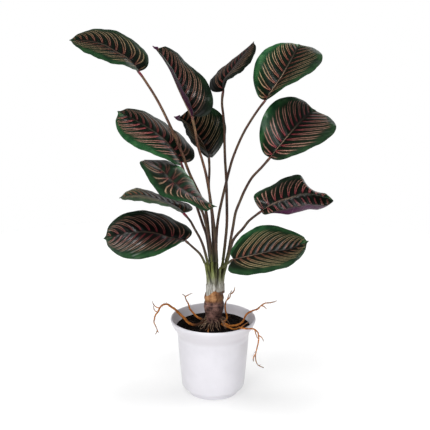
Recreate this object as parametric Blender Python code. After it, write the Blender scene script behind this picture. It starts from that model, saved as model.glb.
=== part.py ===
"""A potted pinstripe calathea: a white plastic pot, soil, corm, leaf sheaths, petioles, blades and roots.

Metres, +Z up. The origin is the centre of the pot's foot, on the surface that it stands on.
Places in the tables below are millimetres, because that is how a plant is measured by hand.
"""

import math

import bmesh
import bpy
from mathutils import Matrix, Vector

# Driving dimensions

MM = 0.001
GAP = 0.0003                # clearance between pieces that touch

POT_HEIGHT = 0.130
POT_SEGMENTS = 44
SOIL_LEVEL = 0.1157
SOIL_RELIEF = 0.0007
SOIL_SEGMENTS = 32
PIT_RADIUS = 0.0138         # the hole in the soil that the corm stands in
PIT_FLOOR = 0.1080

CORM_CENTRE = Vector((0.001, 0.0, 0.0))
CORM_SIDES = 20
CORM_LOBES = 3
CORM_LOBE_DEPTH = 0.04
SHOULDER_Z = 168.0          # millimetres, where the sheaths begin to clasp the corm
ROOTLET_RADIUS = 0.0009
ROOTLET_SIDES = 5
ROOTLET_START = 0.0105      # distance from the corm's axis where a rootlet leaves it
ROOTLET_KNEE = 0.0155
ROOTLET_REACH = 0.0235
ROOTLET_STEP = 0.0025       # rootlets differ in reach by this much
ROOTLET_HEIGHT = 0.128
ROOTLET_ANGLES = (12, 52, 72, 92, 114, 159, 199, 218, 263, 281, 298, 313)   # degrees, clear of the roots

SHEATH_FOOT_Z = 0.1715
SHEATH_CENTRE = Vector((0.003, 0.0, 0.0))
SHEATH_FOOT_TILT = 0.25     # the sheaths reach lower down the corm on the left
SHEATH_GATHER = 0.52        # how far the sheaths draw together at their foot
SHEATH_WAIST = 0.60         # and halfway up
SHEATH_WAIST_Z = 0.198
SHEATH_COLLAR = 0.006       # the top of a sheath runs straight into its petiole over this length
SHEATH_SHARES = (0.0, 0.18, 0.36, 0.54, 0.72, 0.89, 1.0)
SHEATH_RADII = (0.0056, 0.0056, 0.0046, 0.0036, 0.0029, 0.0024, 0.0021)
SHEATH_SIDES = 8
CORE_PROFILE = ((0.0, 168.6), (9.0, 168.6), (12.0, 176.0), (10.5, 187.0), (6.0, 195.0), (0.0, 198.0))
CORE_SIDES = 12

PETIOLE_SIDES = 7
PETIOLE_FOOT_RADIUS = 0.0020
PETIOLE_TOP_RADIUS = 0.0017
SLIM_PETIOLES = {"bottom_left": 0.86, "left_lower": 0.92, "bottom_right": 0.9}
PULVINUS_RADIUS = 0.0021    # the swollen joint just under a blade
PULVINUS_LENGTH = 0.011

BLADE_THICKNESS = 0.0007
BLADE_STATIONS = 15         # cross rows from the base to the tip
BLADE_COLUMNS = 3           # cells from the rib to each margin
BLADE_BASE_POWER = 0.55     # how round the base is: the width grows as s to this power
BLADE_TIP_POWER = 0.80      # how drawn out the tip is
NECK_WIDTH = 0.0018         # half width where the blade meets its petiole
TIP_WIDTH = 0.0009          # half width of the drip tip
MARGIN_STATIONS = {3: (0.12, 0.42, 0.78), 5: (0.06, 0.22, 0.42, 0.60, 0.80)}
CURL_START = 0.89           # the share of the rib where a curled tip begins to turn over
MARGIN_WAVES = 5.0
MARGIN_WAVE_DEPTH = 0.0007
REACH_ENDS = (0.05, 0.93)   # the margins' directions hold still beyond these shares
LOBE_FADE = 0.12            # the share of the rib over which the base's lobes die away

# Turned profiles, radius and height in millimetres

POT_OUTSIDE = ((40.4, 0.0), (41.0, 0.7), (41.0, 7.4), (43.0, 8.0), (47.6, 9.4), (50.4, 11.4),
               (51.7, 14.4), (54.2, 42.0), (56.6, 71.0), (58.6, 97.0),
               (59.4, 105.0), (60.7, 109.0), (63.0, 112.4), (65.6, 115.8), (67.6, 119.6), (69.2, 124.0),
               (70.0, 127.2), (69.6, 129.2), (68.6, 130.0))
POT_INSIDE = ((67.5, 129.6), (66.8, 128.0), (65.4, 123.2), (63.4, 118.4), (60.9, 114.6), (58.2, 110.8),
              (56.2, 98.0), (54.2, 71.0), (49.3, 17.0), (47.0, 13.0), (40.6, 10.4), (38.8, 9.0), (38.6, 2.4),
              (0.0, 2.4))
CORM_PROFILE = ((0.0, 108.4), (9.0, 108.6), (11.8, 112.0), (12.0, 118.0), (12.1, 126.0), (13.4, 136.0),
                (15.9, 146.0), (16.4, 154.0), (15.2, 160.0), (15.6, 165.0), (14.8, 171.0), (11.8, 177.0),
                (7.0, 181.0), (0.0, 182.0))
SOIL_EDGE = 60.4            # the soil surface meets the pot's wall here
SOIL_RINGS = (51.0, 41.0, 31.0, 22.0)

# Petioles. Each list runs from the top of its leaf sheath to the foot of its blade.

PETIOLES = {
    "top_left": ((-1, 1, 226), (-7, 3, 274), (-13, 4, 317), (-23, 5, 341), (-37, 4, 372), (-51, -3, 413),
                 (-66, -12, 452), (-85, -22, 495), (-105, -32, 531), (-114, -35, 544)),
    "upper_left": ((6, -8, 229), (3, -11, 275), (-3, -14, 326), (-11, -16, 376), (-17, -17, 400),
                   (-24, -19, 425), (-28, -21, 449), (-33, -22, 472)),
    "top_centre": ((16, 4, 228), (19, 5, 253), (22, 6, 287), (22, 6, 320), (21, 6, 362), (19, 6, 395),
                   (18, 6, 427), (18, 6, 443), (16, 7, 467), (14, 8, 486), (16, 10, 505)),
    "top_right": ((5, 0, 226), (5, -1, 255), (6, -2, 281), (9, -3, 306), (14, -4, 331), (19, -4, 353),
                  (25, -4, 378), (31, -4, 400), (42, -3, 428), (52, -1, 448), (70, 2, 476), (82, 5, 491)),
    "right": ((21, 2, 227), (25, 2, 243), (28, 1, 262), (32, -3, 287), (36, -10, 313), (43, -16, 334),
              (50, -19, 352), (61, -22, 373), (76, -26, 391), (89, -30, 408)),
    "lower_right": ((22, -6, 226), (27, -9, 247), (31, -12, 264), (38, -19, 278), (47, -28, 291),
                    (56, -36, 306), (66, -43, 317), (76, -50, 327)),
    "bottom_right": ((14, -14, 221), (17.6, -19, 225.4), (22, -25, 231), (27.5, -32.5, 238), (33, -40, 244)),
    "centre": ((2, 8, 223), (0, 9, 260), (-2, 13, 301), (-5, 18, 325), (-7, 25, 348), (-6, 32, 371),
               (-7, 38, 392)),
    "left_upper": ((-5, 6, 224), (-7, 8, 244), (-11, 11, 269), (-17, 13, 286), (-27, 17, 316),
                   (-37, 21, 341), (-45, 26, 365), (-52, 30, 385)),
    "left_middle": ((-2, -11, 230), (-4, -11, 247), (-7, -11, 273), (-12, -12, 296), (-19, -13, 318),
                    (-34, -13, 330), (-52, -12, 344), (-71, -10, 360), (-88, -8, 374), (-99, -6, 382),
                    (-106, -6, 388), (-109, -8, 392), (-107, -9, 397)),
    "left_lower": ((-9, -11, 228), (-15, -18, 256), (-21, -24, 274), (-29, -30, 291), (-36, -38, 307),
                   (-47, -50, 324)),
    "bottom_left": ((-14, -12, 229), (-21, -20, 246), (-33, -34, 263), (-44, -48, 278)),
}

# Blades. rib runs from base to tip. left and right are margin points at MARGIN_STATIONS, seen from
# the upper side with the tip ahead. bow is how far each half bulges to the upper side, lobe how far
# the rounded base sweeps back past the petiole, and curl how many degrees the tip turns over.

BLADES = {
    "top_left": dict(
        rib=((-114, -35, 544), (-130, -38, 564), (-146, -36, 573), (-165, -31, 583), (-190, -24, 588),
             (-220, -8, 587)),
        left=((-121, -72, 556), (-161, -82, 568), (-198, -52, 579)),
        right=((-100, -12, 559), (-130, 7, 589), (-185, 5, 602)),
        bow=(3, 3), lobe=6, curl=0),
    "upper_left": dict(
        rib=((-33, -22, 472), (-51, -18, 509), (-69, -10, 547), (-93, 2, 577)),
        left=((-34, -53, 497), (-50, -64, 531), (-73, -38, 562)),
        right=((-9, -22, 478), (-1, -16, 501), (-15, 11, 527), (-38, 21, 544), (-58, 16, 565)),
        bow=(2, 3), lobe=12, curl=120),
    "top_centre": dict(
        rib=((16, 10, 505), (19, 25, 519), (32, 48, 534), (48, 72, 551), (66, 98, 569)),
        left=((-5, 45, 505), (12, 91, 525), (48, 109, 548)),
        right=((21, -13, 524), (41, -1, 535), (65, 49, 554)),
        bow=(3, 4), lobe=6, curl=0),
    "top_right": dict(
        rib=((82, 5, 491), (94, 12, 508), (107, 25, 524), (119, 45, 540), (131, 72, 556), (139, 100, 564)),
        left=((67, 34, 506), (68, 49, 545), (102, 77, 568)),
        right=((106, -20, 514), (149, 0, 534), (174, 67, 552)),
        bow=(3, 3), lobe=6, curl=0),
    "right": dict(
        rib=((89, -30, 408), (106, -25, 428), (122, -8, 443), (142, 22, 457), (164, 55, 465)),
        left=((75, -4, 425), (80, 1, 470), (121, 38, 490)),
        right=((115, -58, 415), (163, -30, 428), (196, 23, 445)),
        bow=(3, 3), lobe=6, curl=0),
    "lower_right": dict(
        rib=((76, -50, 327), (96, -56, 342), (116, -62, 351), (141, -70, 360), (163, -80, 360),
             (183, -90, 355)),
        left=((65, -44, 350), (83, -18, 358), (111, -19, 373), (136, -30, 379), (154, -50, 359)),
        right=((90, -84, 332), (129, -103, 346), (162, -101, 349)),
        bow=(3, -14), lobe=10, curl=0),
    "bottom_right": dict(
        rib=((33, -40, 244), (58, -50, 253), (89, -62, 264), (119, -74, 272), (147, -85, 289)),
        left=((38, -17, 263), (74, -23, 294), (123, -52, 295)),
        right=((33, -73, 233), (78, -105, 244), (128, -105, 263)),
        bow=(3, 3), lobe=15, curl=0),
    "centre": dict(
        rib=((-7, 38, 392), (-16, 46, 410), (-29, 64, 426), (-45, 88, 438), (-65, 112, 443)),
        left=((-17, 8, 406), (-39, 15, 429), (-49, 61, 441)),
        right=((6, 70, 394), (21, 65, 435), (-12, 98, 463)),
        bow=(3, 3), lobe=8, curl=80),
    "left_upper": dict(
        rib=((-52, 30, 385), (-63, 28, 404), (-80, 29, 424), (-104, 32, 441), (-129, 37, 455),
             (-153, 46, 465)),
        left=((-65, -6, 397), (-104, -13, 413), (-149, 30, 431)),
        right=((-33, 50, 398), (-61, 72, 427), (-113, 65, 461)),
        bow=(3, 3), lobe=20, curl=0),
    "left_middle": dict(
        rib=((-107, -9, 397), (-84, -26, 389), (-58, -42, 368), (-28, -50, 350), (6, -54, 335)),
        left=((-93, 17, 390), (-48, 7, 379), (-21, -19, 345)),
        right=((-107, -50, 395), (-83, -83, 365), (-38, -79, 348)),
        bow=(3, 3), lobe=16, curl=0),
    "left_lower": dict(
        rib=((-47, -50, 324), (-67, -52, 339), (-90, -55, 349), (-116, -58, 355), (-145, -62, 351)),
        left=((-57, -85, 340), (-88, -103, 354), (-125, -91, 356)),
        right=((-38, -22, 329), (-80, -6, 339), (-121, -27, 357)),
        bow=(3, 3), lobe=12, curl=0),
    "bottom_left": dict(
        rib=((-44, -48, 278), (-67, -56, 285), (-89, -62, 294), (-113, -67, 298), (-144, -72, 295),
             (-169, -76, 290)),
        left=((-61, -88, 283), (-101, -104, 268), (-147, -82, 265)),
        right=((-41, -25, 292), (-86, -19, 314), (-144, -51, 320)),
        bow=(3, 3), lobe=12, curl=0),
}

# Surface roots. The first list of each is the root, the rest are its branches. A fourth value in a
# point means that the third is the height over the soil.

ON_SOIL = True
ROOTS = {
    "left": (
        ((-15, 0, 5.4), (-20, -1, 4.2), (-27, -4, 2.8, ON_SOIL), (-35, -3, 2.9, ON_SOIL), (-42, 4, 120),
         (-48, 12, 124), (-55, 16, 129), (-63, 20, 136), (-70, 20, 141), (-76, 18, 146), (-83, 15, 146),
         (-88, 12, 142), (-91, 8, 136), (-95, 5, 132), (-97, 2, 126), (-97, 0, 120), (-94, -2, 114),
         (-92, -4, 109), (-95, -5, 102)),
        ((-88, 12, 142), (-93, 12, 143), (-98, 13, 147), (-100, 13, 153)),
        ((-91, 8, 136), (-96, 9, 138), (-98, 9, 146)),
        ((-92, -4, 109), (-90, -3, 104))),
    "back_left": (
        ((-11, 9.5, 5.4), (-15, 14, 3.4), (-21, 21, 2.8, ON_SOIL), (-27, 30, 2.9, ON_SOIL), (-32, 38, 121),
         (-39, 44, 128), (-42, 48, 136), (-46, 50, 143), (-47, 50, 148), (-52, 50, 152)),
        ((-47, 50, 147), (-42, 51, 150), (-35, 52, 153))),
    "back_right": (
        ((14, 7, 5.2), (18, 12, 3.2), (22, 20, 2.5, ON_SOIL), (23, 28, 121), (20, 30, 131), (20, 32, 141),
         (22, 32, 147), (27, 32, 152), (29, 32, 159), (30, 32, 165)),
        ((29, 32, 159), (34, 32, 163), (36, 32, 172)),
        ((24, 32, 149), (25, 33, 154), (27, 34, 160))),
    "right": (
        ((15, -1.5, 6), (20, -3, 4), (26, -6, 2.4, ON_SOIL), (33, -8, 2.2, ON_SOIL), (41, -4, 2.2, ON_SOIL),
         (48, 5, 119.5), (51, 12, 122), (54, 18, 126), (59, 21, 130), (66, 20, 134), (74, 18, 138),
         (79, 16, 144), (85, 14, 149), (94, 12, 151), (105, 10, 155)),
        ((79, 16, 144), (84, 15, 143), (88, 13, 139))),
    "over_rim": (
        ((13, -8, 6), (18, -11, 4), (25, -15, 2.4, ON_SOIL), (32, -20, 2.4, ON_SOIL), (38, -31, 122),
         (42, -42, 129), (44, -53, 132.5), (49, -56, 133), (56, -54, 131.5), (63, -49, 129.5), (70, -42, 123),
         (73.5, -36, 114), (74, -31, 104), (73, -28, 94), (71, -28, 84), (69, -28, 75), (70, -28, 64),
         (73, -28, 58), (78, -27, 54), (83, -26, 52)),
        ((44, -52, 132.5), (50, -41, 133), (58, -28, 133)),
        ((67, -46, 127), (69, -47, 119), (72, -45, 111)),
        ((73.5, -36, 113), (79, -35, 108), (82, -35, 102)),
        ((69.5, -28, 77), (66, -32, 72), (66, -34, 66))),
    "front": (
        ((-5.5, -12.5, 6), (-7, -16, 3.4), (-8, -22, 2.0, ON_SOIL), (-8, -30, 1.6, ON_SOIL),
         (-7.5, -38, 1.2, ON_SOIL)),),
}
ROOT_SIDES = 6
ROOT_RADII = {"left": 0.0022, "back_left": 0.0022, "back_right": 0.0019, "right": 0.0018,
              "over_rim": 0.0017, "front": 0.0016}
ROOT_TIP_RADIUS = 0.0006
BRANCH_RADIUS = 0.0010
BRANCH_TIP_RADIUS = 0.0005
ROOT_TAPER = 1.5            # above 1, a root keeps its thickness longer before it tapers
ROOT_STEP = 0.006           # spacing of the points along a root
PETIOLE_STEP = 0.014        # spacing of the points along a petiole


# Curves

def to_metres(point):
    return Vector(point[:3]) * MM


def soil_height(x, y):
    """The soil's gently uneven surface."""
    wave = math.cos(160 * x + 0.6) * math.cos(130 * y - 0.4) + 0.5 * math.cos(310 * x - 240 * y)
    return SOIL_LEVEL + SOIL_RELIEF * wave


class Smooth:
    """A smooth curve through points. It is read by the share of its length, unless knots are given."""

    def __init__(self, points, knots=None):
        self.points = points
        chords = [(b - a).length for a, b in zip(points, points[1:])]
        self.length = sum(chords)
        self.knots = knots or [sum(chords[:i]) / self.length for i in range(len(points))]
        self.slopes = self._slopes()

    def _slopes(self):
        p, k = self.points, self.knots
        if len(p) == 2:
            return [p[1] - p[0]] * 2
        inner = [(p[i + 1] - p[i - 1]) / (k[i + 1] - k[i - 1]) for i in range(1, len(p) - 1)]
        first = 2 * (p[1] - p[0]) / (k[1] - k[0]) - inner[0]
        last = 2 * (p[-1] - p[-2]) / (k[-1] - k[-2]) - inner[-1]
        return [first] + inner + [last]

    def at(self, share):
        i = max([0] + [n for n in range(len(self.knots) - 1) if self.knots[n] <= share])
        span = self.knots[i + 1] - self.knots[i]
        u = (share - self.knots[i]) / span
        a, b = self.points[i], self.points[i + 1]
        m, n = self.slopes[i] * span, self.slopes[i + 1] * span
        return ((2 * u**3 - 3 * u**2 + 1) * a + (u**3 - 2 * u**2 + u) * m
                + (3 * u**2 - 2 * u**3) * b + (u**3 - u**2) * n)

    def heading(self, share):
        step = 0.004
        return (self.at(min(share + step, 1.0)) - self.at(max(share - step, 0.0))).normalized()

    def run(self, start, end, step):
        """Points from one share to another, about a step apart."""
        count = max(2, round(self.length * (end - start) / step) + 1)
        return [self.at(start + (end - start) * i / (count - 1)) for i in range(count)]


# Meshes

def mesh_object(name, verts, faces, material=None, smooth=True):
    mesh = bpy.data.meshes.new(name)
    mesh.from_pydata([tuple(v) for v in verts], [], faces)
    mesh.validate()
    if smooth:
        mesh.shade_smooth()
    thing = bpy.data.objects.new(name, mesh)
    bpy.context.collection.objects.link(thing)
    if material:
        mesh.materials.append(material)
    return thing


def turned(name, profile, segments, material, shape=None):
    """Turns a profile of radius and height points, from axis to axis or as a closed loop, round Z."""
    verts, rings = [], []
    for radius, height in profile:
        if radius == 0.0:
            rings.append([len(verts)])
            verts.append(Vector((0, 0, height * MM)))
            continue
        ring = []
        for i in range(segments):
            angle = math.tau * i / segments
            reach = radius * MM * (shape(angle) if shape else 1.0)
            ring.append(len(verts))
            verts.append(Vector((reach * math.cos(angle), reach * math.sin(angle), height * MM)))
        rings.append(ring)
    faces = []
    for low, high in zip(rings, rings[1:]):
        for i in range(segments):
            j = (i + 1) % segments
            if len(low) == 1:
                faces.append((low[0], high[j], high[i]))
            elif len(high) == 1:
                faces.append((low[i], low[j], high[0]))
            else:
                faces.append((low[i], low[j], high[j], high[i]))
    return mesh_object(name, verts, faces, material)


def tube(name, points, radii, sides, material=None):
    """A closed tube of round rings along points, with its own radius at each."""
    verts, faces = [], []
    count = len(points)
    headings = [(points[min(i + 1, count - 1)] - points[max(i - 1, 0)]).normalized() for i in range(count)]
    across = headings[0].orthogonal().normalized()
    for point, radius, heading in zip(points, radii, headings):
        across = (across - heading * across.dot(heading)).normalized()
        up = heading.cross(across)
        for k in range(sides):
            angle = math.tau * k / sides
            verts.append(point + radius * (math.cos(angle) * across + math.sin(angle) * up))
    for i in range(count - 1):
        for k in range(sides):
            m = (k + 1) % sides
            a, b = i * sides, (i + 1) * sides
            faces.append((a + k, a + m, b + m, b + k))
    faces.append(tuple(reversed(range(sides))))
    faces.append(tuple((count - 1) * sides + k for k in range(sides)))
    return mesh_object(name, verts, faces, material)


def combine(base, others, operation="UNION"):
    """Joins or cuts a solid with a group of others in one Boolean, and removes the others."""
    group = bpy.data.collections.new(base.name + "_parts")
    bpy.context.scene.collection.children.link(group)
    for other in others:
        bpy.context.collection.objects.unlink(other)
        group.objects.link(other)
    modifier = base.modifiers.new("join", "BOOLEAN")
    modifier.operation = operation
    modifier.operand_type = "COLLECTION"
    modifier.collection = group
    modifier.solver = "EXACT"
    bpy.context.view_layer.update()
    result = bpy.data.meshes.new_from_object(base.evaluated_get(bpy.context.evaluated_depsgraph_get()))
    base.modifiers.clear()
    base.data = result
    for other in list(group.objects):
        bpy.data.objects.remove(other)
    bpy.data.collections.remove(group)
    return base


# Materials

def finish(name, colour, roughness):
    material = bpy.data.materials.new(name)
    material.use_nodes = True
    shader = material.node_tree.nodes["Principled BSDF"]
    shader.inputs["Base Color"].default_value = (*colour, 1.0)
    shader.inputs["Roughness"].default_value = roughness
    shader.inputs["Metallic"].default_value = 0.0
    return material


# The pot and its soil

def make_pot(material):
    """A thin moulded wall with a rolled lip, a flared collar and a stepped foot."""
    return turned("pot", ((0.0, 0.0),) + POT_OUTSIDE + POT_INSIDE, POT_SEGMENTS, material)


def make_soil(material):
    """Fills the pot a clearance inside its wall, with a plain round hole for the corm."""
    clear = GAP / MM
    level, pit = SOIL_LEVEL / MM, PIT_RADIUS / MM
    wall = [(radius - 2 * clear if radius else 0.0, height + clear) for radius, height in reversed(POT_INSIDE)]
    wall = [point for point in wall if point[1] < level - 1.0]
    top = [(SOIL_EDGE, level)] + [(radius, level) for radius in SOIL_RINGS]
    hole = [(pit, level), (pit, PIT_FLOOR / MM), (0.0, PIT_FLOOR / MM)]
    soil = turned("soil", wall + top + hole, SOIL_SEGMENTS, material)
    for vertex in soil.data.vertices:
        if abs(vertex.co.z - SOIL_LEVEL) < 1e-6 and math.hypot(*vertex.co.xy) < (SOIL_EDGE - 1) * MM:
            vertex.co.z = soil_height(vertex.co.x, vertex.co.y)
    return soil


# The corm and the crown of leaf sheaths

def corm_shape(angle):
    return 1.0 + CORM_LOBE_DEPTH * math.cos(CORM_LOBES * angle + 0.8)


def make_corm_body(name, material, grow=0.0):
    more = grow / MM
    profile = [(r + more if r else 0.0, z + more if z > SHOULDER_Z else z) for r, z in CORM_PROFILE]
    body = turned(name, profile, CORM_SIDES, material, corm_shape)
    body.data.transform(Matrix.Translation(CORM_CENTRE))
    return body


def make_corm(material):
    """The swollen stem base, with a fringe of rootlets that arch out to the soil."""
    corm = make_corm_body("corm", material)
    rootlets = []
    for number, degrees in enumerate(ROOTLET_ANGLES):
        angle = math.radians(degrees)
        out = Vector((math.cos(angle), math.sin(angle), 0))
        side = Vector((-out.y, out.x, 0)) * (0.0012 if number % 2 else -0.0012)
        vary = ROOTLET_STEP * (number % 3)
        start = CORM_CENTRE + out * ROOTLET_START + Vector((0, 0, ROOTLET_HEIGHT + 0.8 * vary))
        knee = CORM_CENTRE + out * ROOTLET_KNEE + side + Vector((0, 0, ROOTLET_HEIGHT - 0.0015))
        foot = CORM_CENTRE + out * (ROOTLET_REACH + vary)
        foot.z = soil_height(foot.x, foot.y) + ROOTLET_RADIUS + 2 * GAP
        curve = Smooth([start, knee, foot])
        points = [curve.at(i / 4) for i in range(5)]
        radii = [ROOTLET_RADIUS * (1 - 0.08 * i) for i in range(5)]
        rootlets.append(tube("rootlet", points, radii, ROOTLET_SIDES))
    return combine(corm, rootlets)


def sheath_path(name):
    """From the corm's shoulder, where the sheaths crowd together, up to the petiole's foot."""
    top = to_metres(PETIOLES[name][0])
    above = to_metres(PETIOLES[name][1])
    lean = (above - top).normalized()
    foot = SHEATH_CENTRE + (top - SHEATH_CENTRE) * SHEATH_GATHER
    foot.z = SHEATH_FOOT_Z + SHEATH_FOOT_TILT * foot.x
    waist = SHEATH_CENTRE + (top - SHEATH_CENTRE) * SHEATH_WAIST
    waist.z = SHEATH_WAIST_Z
    return Smooth([foot, waist, top - lean * SHEATH_COLLAR, top])


def make_crown(material):
    """Twelve leaf sheaths grown into one clasping crown, fitted over the corm's shoulder."""
    lobes = []
    for name in PETIOLES:
        path = sheath_path(name)
        points = [path.at(share) for share in SHEATH_SHARES]
        points[-1] = points[-1] - path.heading(1.0) * GAP * 1.5
        lobes.append(tube("sheath", points, SHEATH_RADII, SHEATH_SIDES, material))
    core = turned("sheath", CORE_PROFILE, CORE_SIDES, material)
    core.data.transform(Matrix.Translation(SHEATH_CENTRE))
    crown = combine(lobes[0], lobes[1:] + [core])
    crown = combine(crown, [make_corm_body("cutter", None, GAP)], "DIFFERENCE")
    crown.name = "crown_sheaths"
    return crown


# Petioles and blades

def neck_clearance(name, heading):
    """How far short of the blade a petiole with this heading stops, to clear the blade's first row."""
    leaf = BLADES[name]
    rib = Smooth([to_metres(p) for p in leaf["rib"]])
    row = [blade_point(leaf, rib, 0.0, across) for across in (-1, 1)]
    behind = max((rib.at(0.0) - corner).dot(heading) for corner in row)
    return GAP + BLADE_THICKNESS / 2 + max(0.0, behind)


def make_petiole(name, material):
    """A slim stalk from its sheath to the swollen joint under the blade."""
    curve = Smooth([to_metres(p) for p in PETIOLES[name]])
    end = 1.0 - neck_clearance(name, curve.heading(1.0)) / curve.length
    points = curve.run(0.0, end, PETIOLE_STEP)
    knee = 1.0 - PULVINUS_LENGTH / curve.length
    points = points[:-2] + curve.run(knee - 0.3 * (1 - knee), end, PULVINUS_LENGTH / 2.6)
    slim = SLIM_PETIOLES.get(name, 1.0)
    radii = []
    for point in points:
        share = (point - points[0]).length / (points[-1] - points[0]).length
        radius = slim * (PETIOLE_FOOT_RADIUS + (PETIOLE_TOP_RADIUS - PETIOLE_FOOT_RADIUS) * share)
        near = 1.0 - min((points[-1] - point).length / PULVINUS_LENGTH, 1.0)
        swell = math.sin(math.pi * min(1.0, 0.15 + near)) if near > 0 else 0.0
        radii.append(radius + (PULVINUS_RADIUS - radius) * max(0.0, swell))
    return tube("petiole_" + name, points, radii, PETIOLE_SIDES, material)


def blade_width(share):
    """The leaf outline: half width along the rib as a share of the widest."""
    peak = BLADE_BASE_POWER / (BLADE_BASE_POWER + BLADE_TIP_POWER)
    top = peak ** BLADE_BASE_POWER * (1 - peak) ** BLADE_TIP_POWER
    return share ** BLADE_BASE_POWER * (1 - share) ** BLADE_TIP_POWER / top


def side_reach(rib, margins, share):
    """The vector from the rib to one margin, as if the blade were at its widest there."""
    stations = MARGIN_STATIONS[len(margins)]
    reaches = [(to_metres(point) - rib.at(s)) / blade_width(s) for point, s in zip(margins, stations)]
    return Smooth(reaches, stations).at(min(max(share, REACH_ENDS[0]), REACH_ENDS[1]))


def blade_point(leaf, rib, share, across):
    """A point of the blade's middle surface. across runs from -1, the left margin, to 1, the right."""
    heading = rib.heading(share)
    left = side_reach(rib, leaf["left"], share)
    right = side_reach(rib, leaf["right"], share)
    upper = heading.cross(left - right).normalized()
    reach = left if across < 0 else right
    v = abs(across)
    ends = NECK_WIDTH * (1 - share) + TIP_WIDTH * share
    width = max(blade_width(share), ends / reach.length)
    turn = math.radians(leaf["curl"]) * max(0.0, (share - CURL_START) / (1 - CURL_START)) ** 1.5
    if turn:
        reach = Matrix.Rotation(turn, 3, heading) @ reach
    half_upper = (heading.cross(reach) if across < 0 else reach.cross(heading)).normalized()
    bow = leaf["bow"][0 if across < 0 else 1] * MM
    fade = min(1.0, width * 1.4)
    bulge = half_upper * bow * 4 * v * (1 - v) * fade
    wave = math.sin(math.tau * MARGIN_WAVES * share + (1.1 if across < 0 else 2.7))
    ripple = half_upper * MARGIN_WAVE_DEPTH * wave * v ** 3 * fade
    sweep = heading * leaf["lobe"] * MM * v * width * math.exp(-share / LOBE_FADE)
    return rib.at(share) + reach * (v * width) + bulge + ripple - sweep


def make_blade(name, material):
    """A thin closed blade: two sheets split into the same triangles, joined round the edge."""
    leaf = BLADES[name]
    rib = Smooth([to_metres(p) for p in leaf["rib"]])
    rows = BLADE_STATIONS
    columns = 2 * BLADE_COLUMNS + 1
    grid = []
    for i in range(rows):
        share = 0.5 - 0.5 * math.cos(math.pi * i / (rows - 1))
        grid.append([blade_point(leaf, rib, share, (j - BLADE_COLUMNS) / BLADE_COLUMNS) for j in range(columns)])
    verts = []
    for side in (0.5, -0.5):
        for i in range(rows):
            for j in range(columns):
                along = grid[min(i + 1, rows - 1)][j] - grid[max(i - 1, 0)][j]
                over = grid[i][max(j - 1, 0)] - grid[i][min(j + 1, columns - 1)]
                verts.append(grid[i][j] + along.cross(over).normalized() * BLADE_THICKNESS * side)
    sheet = rows * columns
    faces = []
    for i in range(rows - 1):
        for j in range(columns - 1):
            a, b = i * columns + j, i * columns + j + 1
            c, d = a + columns, b + columns
            pair = ((a, b, d), (a, d, c)) if j < BLADE_COLUMNS else ((a, b, c), (b, d, c))
            for p, q, r in pair:
                faces.append((p, r, q))
                faces.append((sheet + p, sheet + q, sheet + r))
    rim = ([(0, j) for j in range(columns)] + [(i, columns - 1) for i in range(1, rows)]
           + [(rows - 1, j) for j in range(columns - 2, -1, -1)] + [(i, 0) for i in range(rows - 2, 0, -1)])
    loop = [i * columns + j for i, j in rim]
    for p, q in zip(loop, loop[1:] + loop[:1]):
        faces.append((p, q, sheet + q))
        faces.append((p, sheet + q, sheet + p))
    blade = mesh_object("blade_" + name, verts, faces, material)
    face_out(blade.data)
    return blade


def face_out(mesh):
    """Turns every face of a closed mesh outwards."""
    work = bmesh.new()
    work.from_mesh(mesh)
    bmesh.ops.recalc_face_normals(work, faces=work.faces)
    if work.calc_volume(signed=True) < 0:
        bmesh.ops.reverse_faces(work, faces=work.faces)
    work.to_mesh(mesh)
    work.free()


# Roots

def root_point(point):
    place = to_metres(point)
    if len(point) == 4 or point[2] < 20:
        place.z = soil_height(place.x, place.y) + point[2] * MM
    return place


def root_tube(points, thick, thin):
    curve = Smooth([root_point(p) for p in points])
    run = curve.run(0.0, 1.0, ROOT_STEP)
    radii = [thick + (thin - thick) * (i / (len(run) - 1)) ** ROOT_TAPER for i in range(len(run))]
    return tube("root", run, radii, ROOT_SIDES)


def make_root(name, material):
    main, *branches = ROOTS[name]
    root = root_tube(main, ROOT_RADII[name], ROOT_TIP_RADIUS)
    if branches:
        combine(root, [root_tube(b, BRANCH_RADIUS, BRANCH_TIP_RADIUS) for b in branches])
    root.name = "root_" + name
    root.data.materials.clear()
    root.data.materials.append(material)
    return root


def main():
    for thing in list(bpy.data.objects):
        bpy.data.objects.remove(thing)
    plastic = finish("pot_plastic", (0.86, 0.85, 0.88), 0.32)
    earth = finish("soil_earth", (0.03, 0.022, 0.016), 0.9)
    corm_skin = finish("corm_skin", (0.26, 0.13, 0.07), 0.7)
    sheath = finish("sheath", (0.52, 0.54, 0.40), 0.5)
    stalk = finish("petiole", (0.10, 0.05, 0.035), 0.45)
    leaf = finish("leaf", (0.02, 0.09, 0.03), 0.4)
    bark = finish("root_bark", (0.42, 0.18, 0.05), 0.75)
    make_pot(plastic)
    make_soil(earth)
    make_corm(corm_skin)
    make_crown(sheath)
    for name in PETIOLES:
        make_petiole(name, stalk)
        make_blade(name, leaf)
    for name in ROOTS:
        make_root(name, bark)


main()
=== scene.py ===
# %% [markdown]
# # A potted pinstripe calathea
# This house plant stands in a plain white plastic pot. Twelve striped leaves sit on long brown
# stalks. The stalks rise from a crown of pale sheaths on a swollen corm, and a few orange roots lie
# on the soil and hang over the rim.
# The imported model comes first. It is the fixed frame: its bodies and places never change, and each
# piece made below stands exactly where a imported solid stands.

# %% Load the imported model
import math
import random

import bmesh
import bpy
from mathutils import Matrix, Vector, noise


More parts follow.
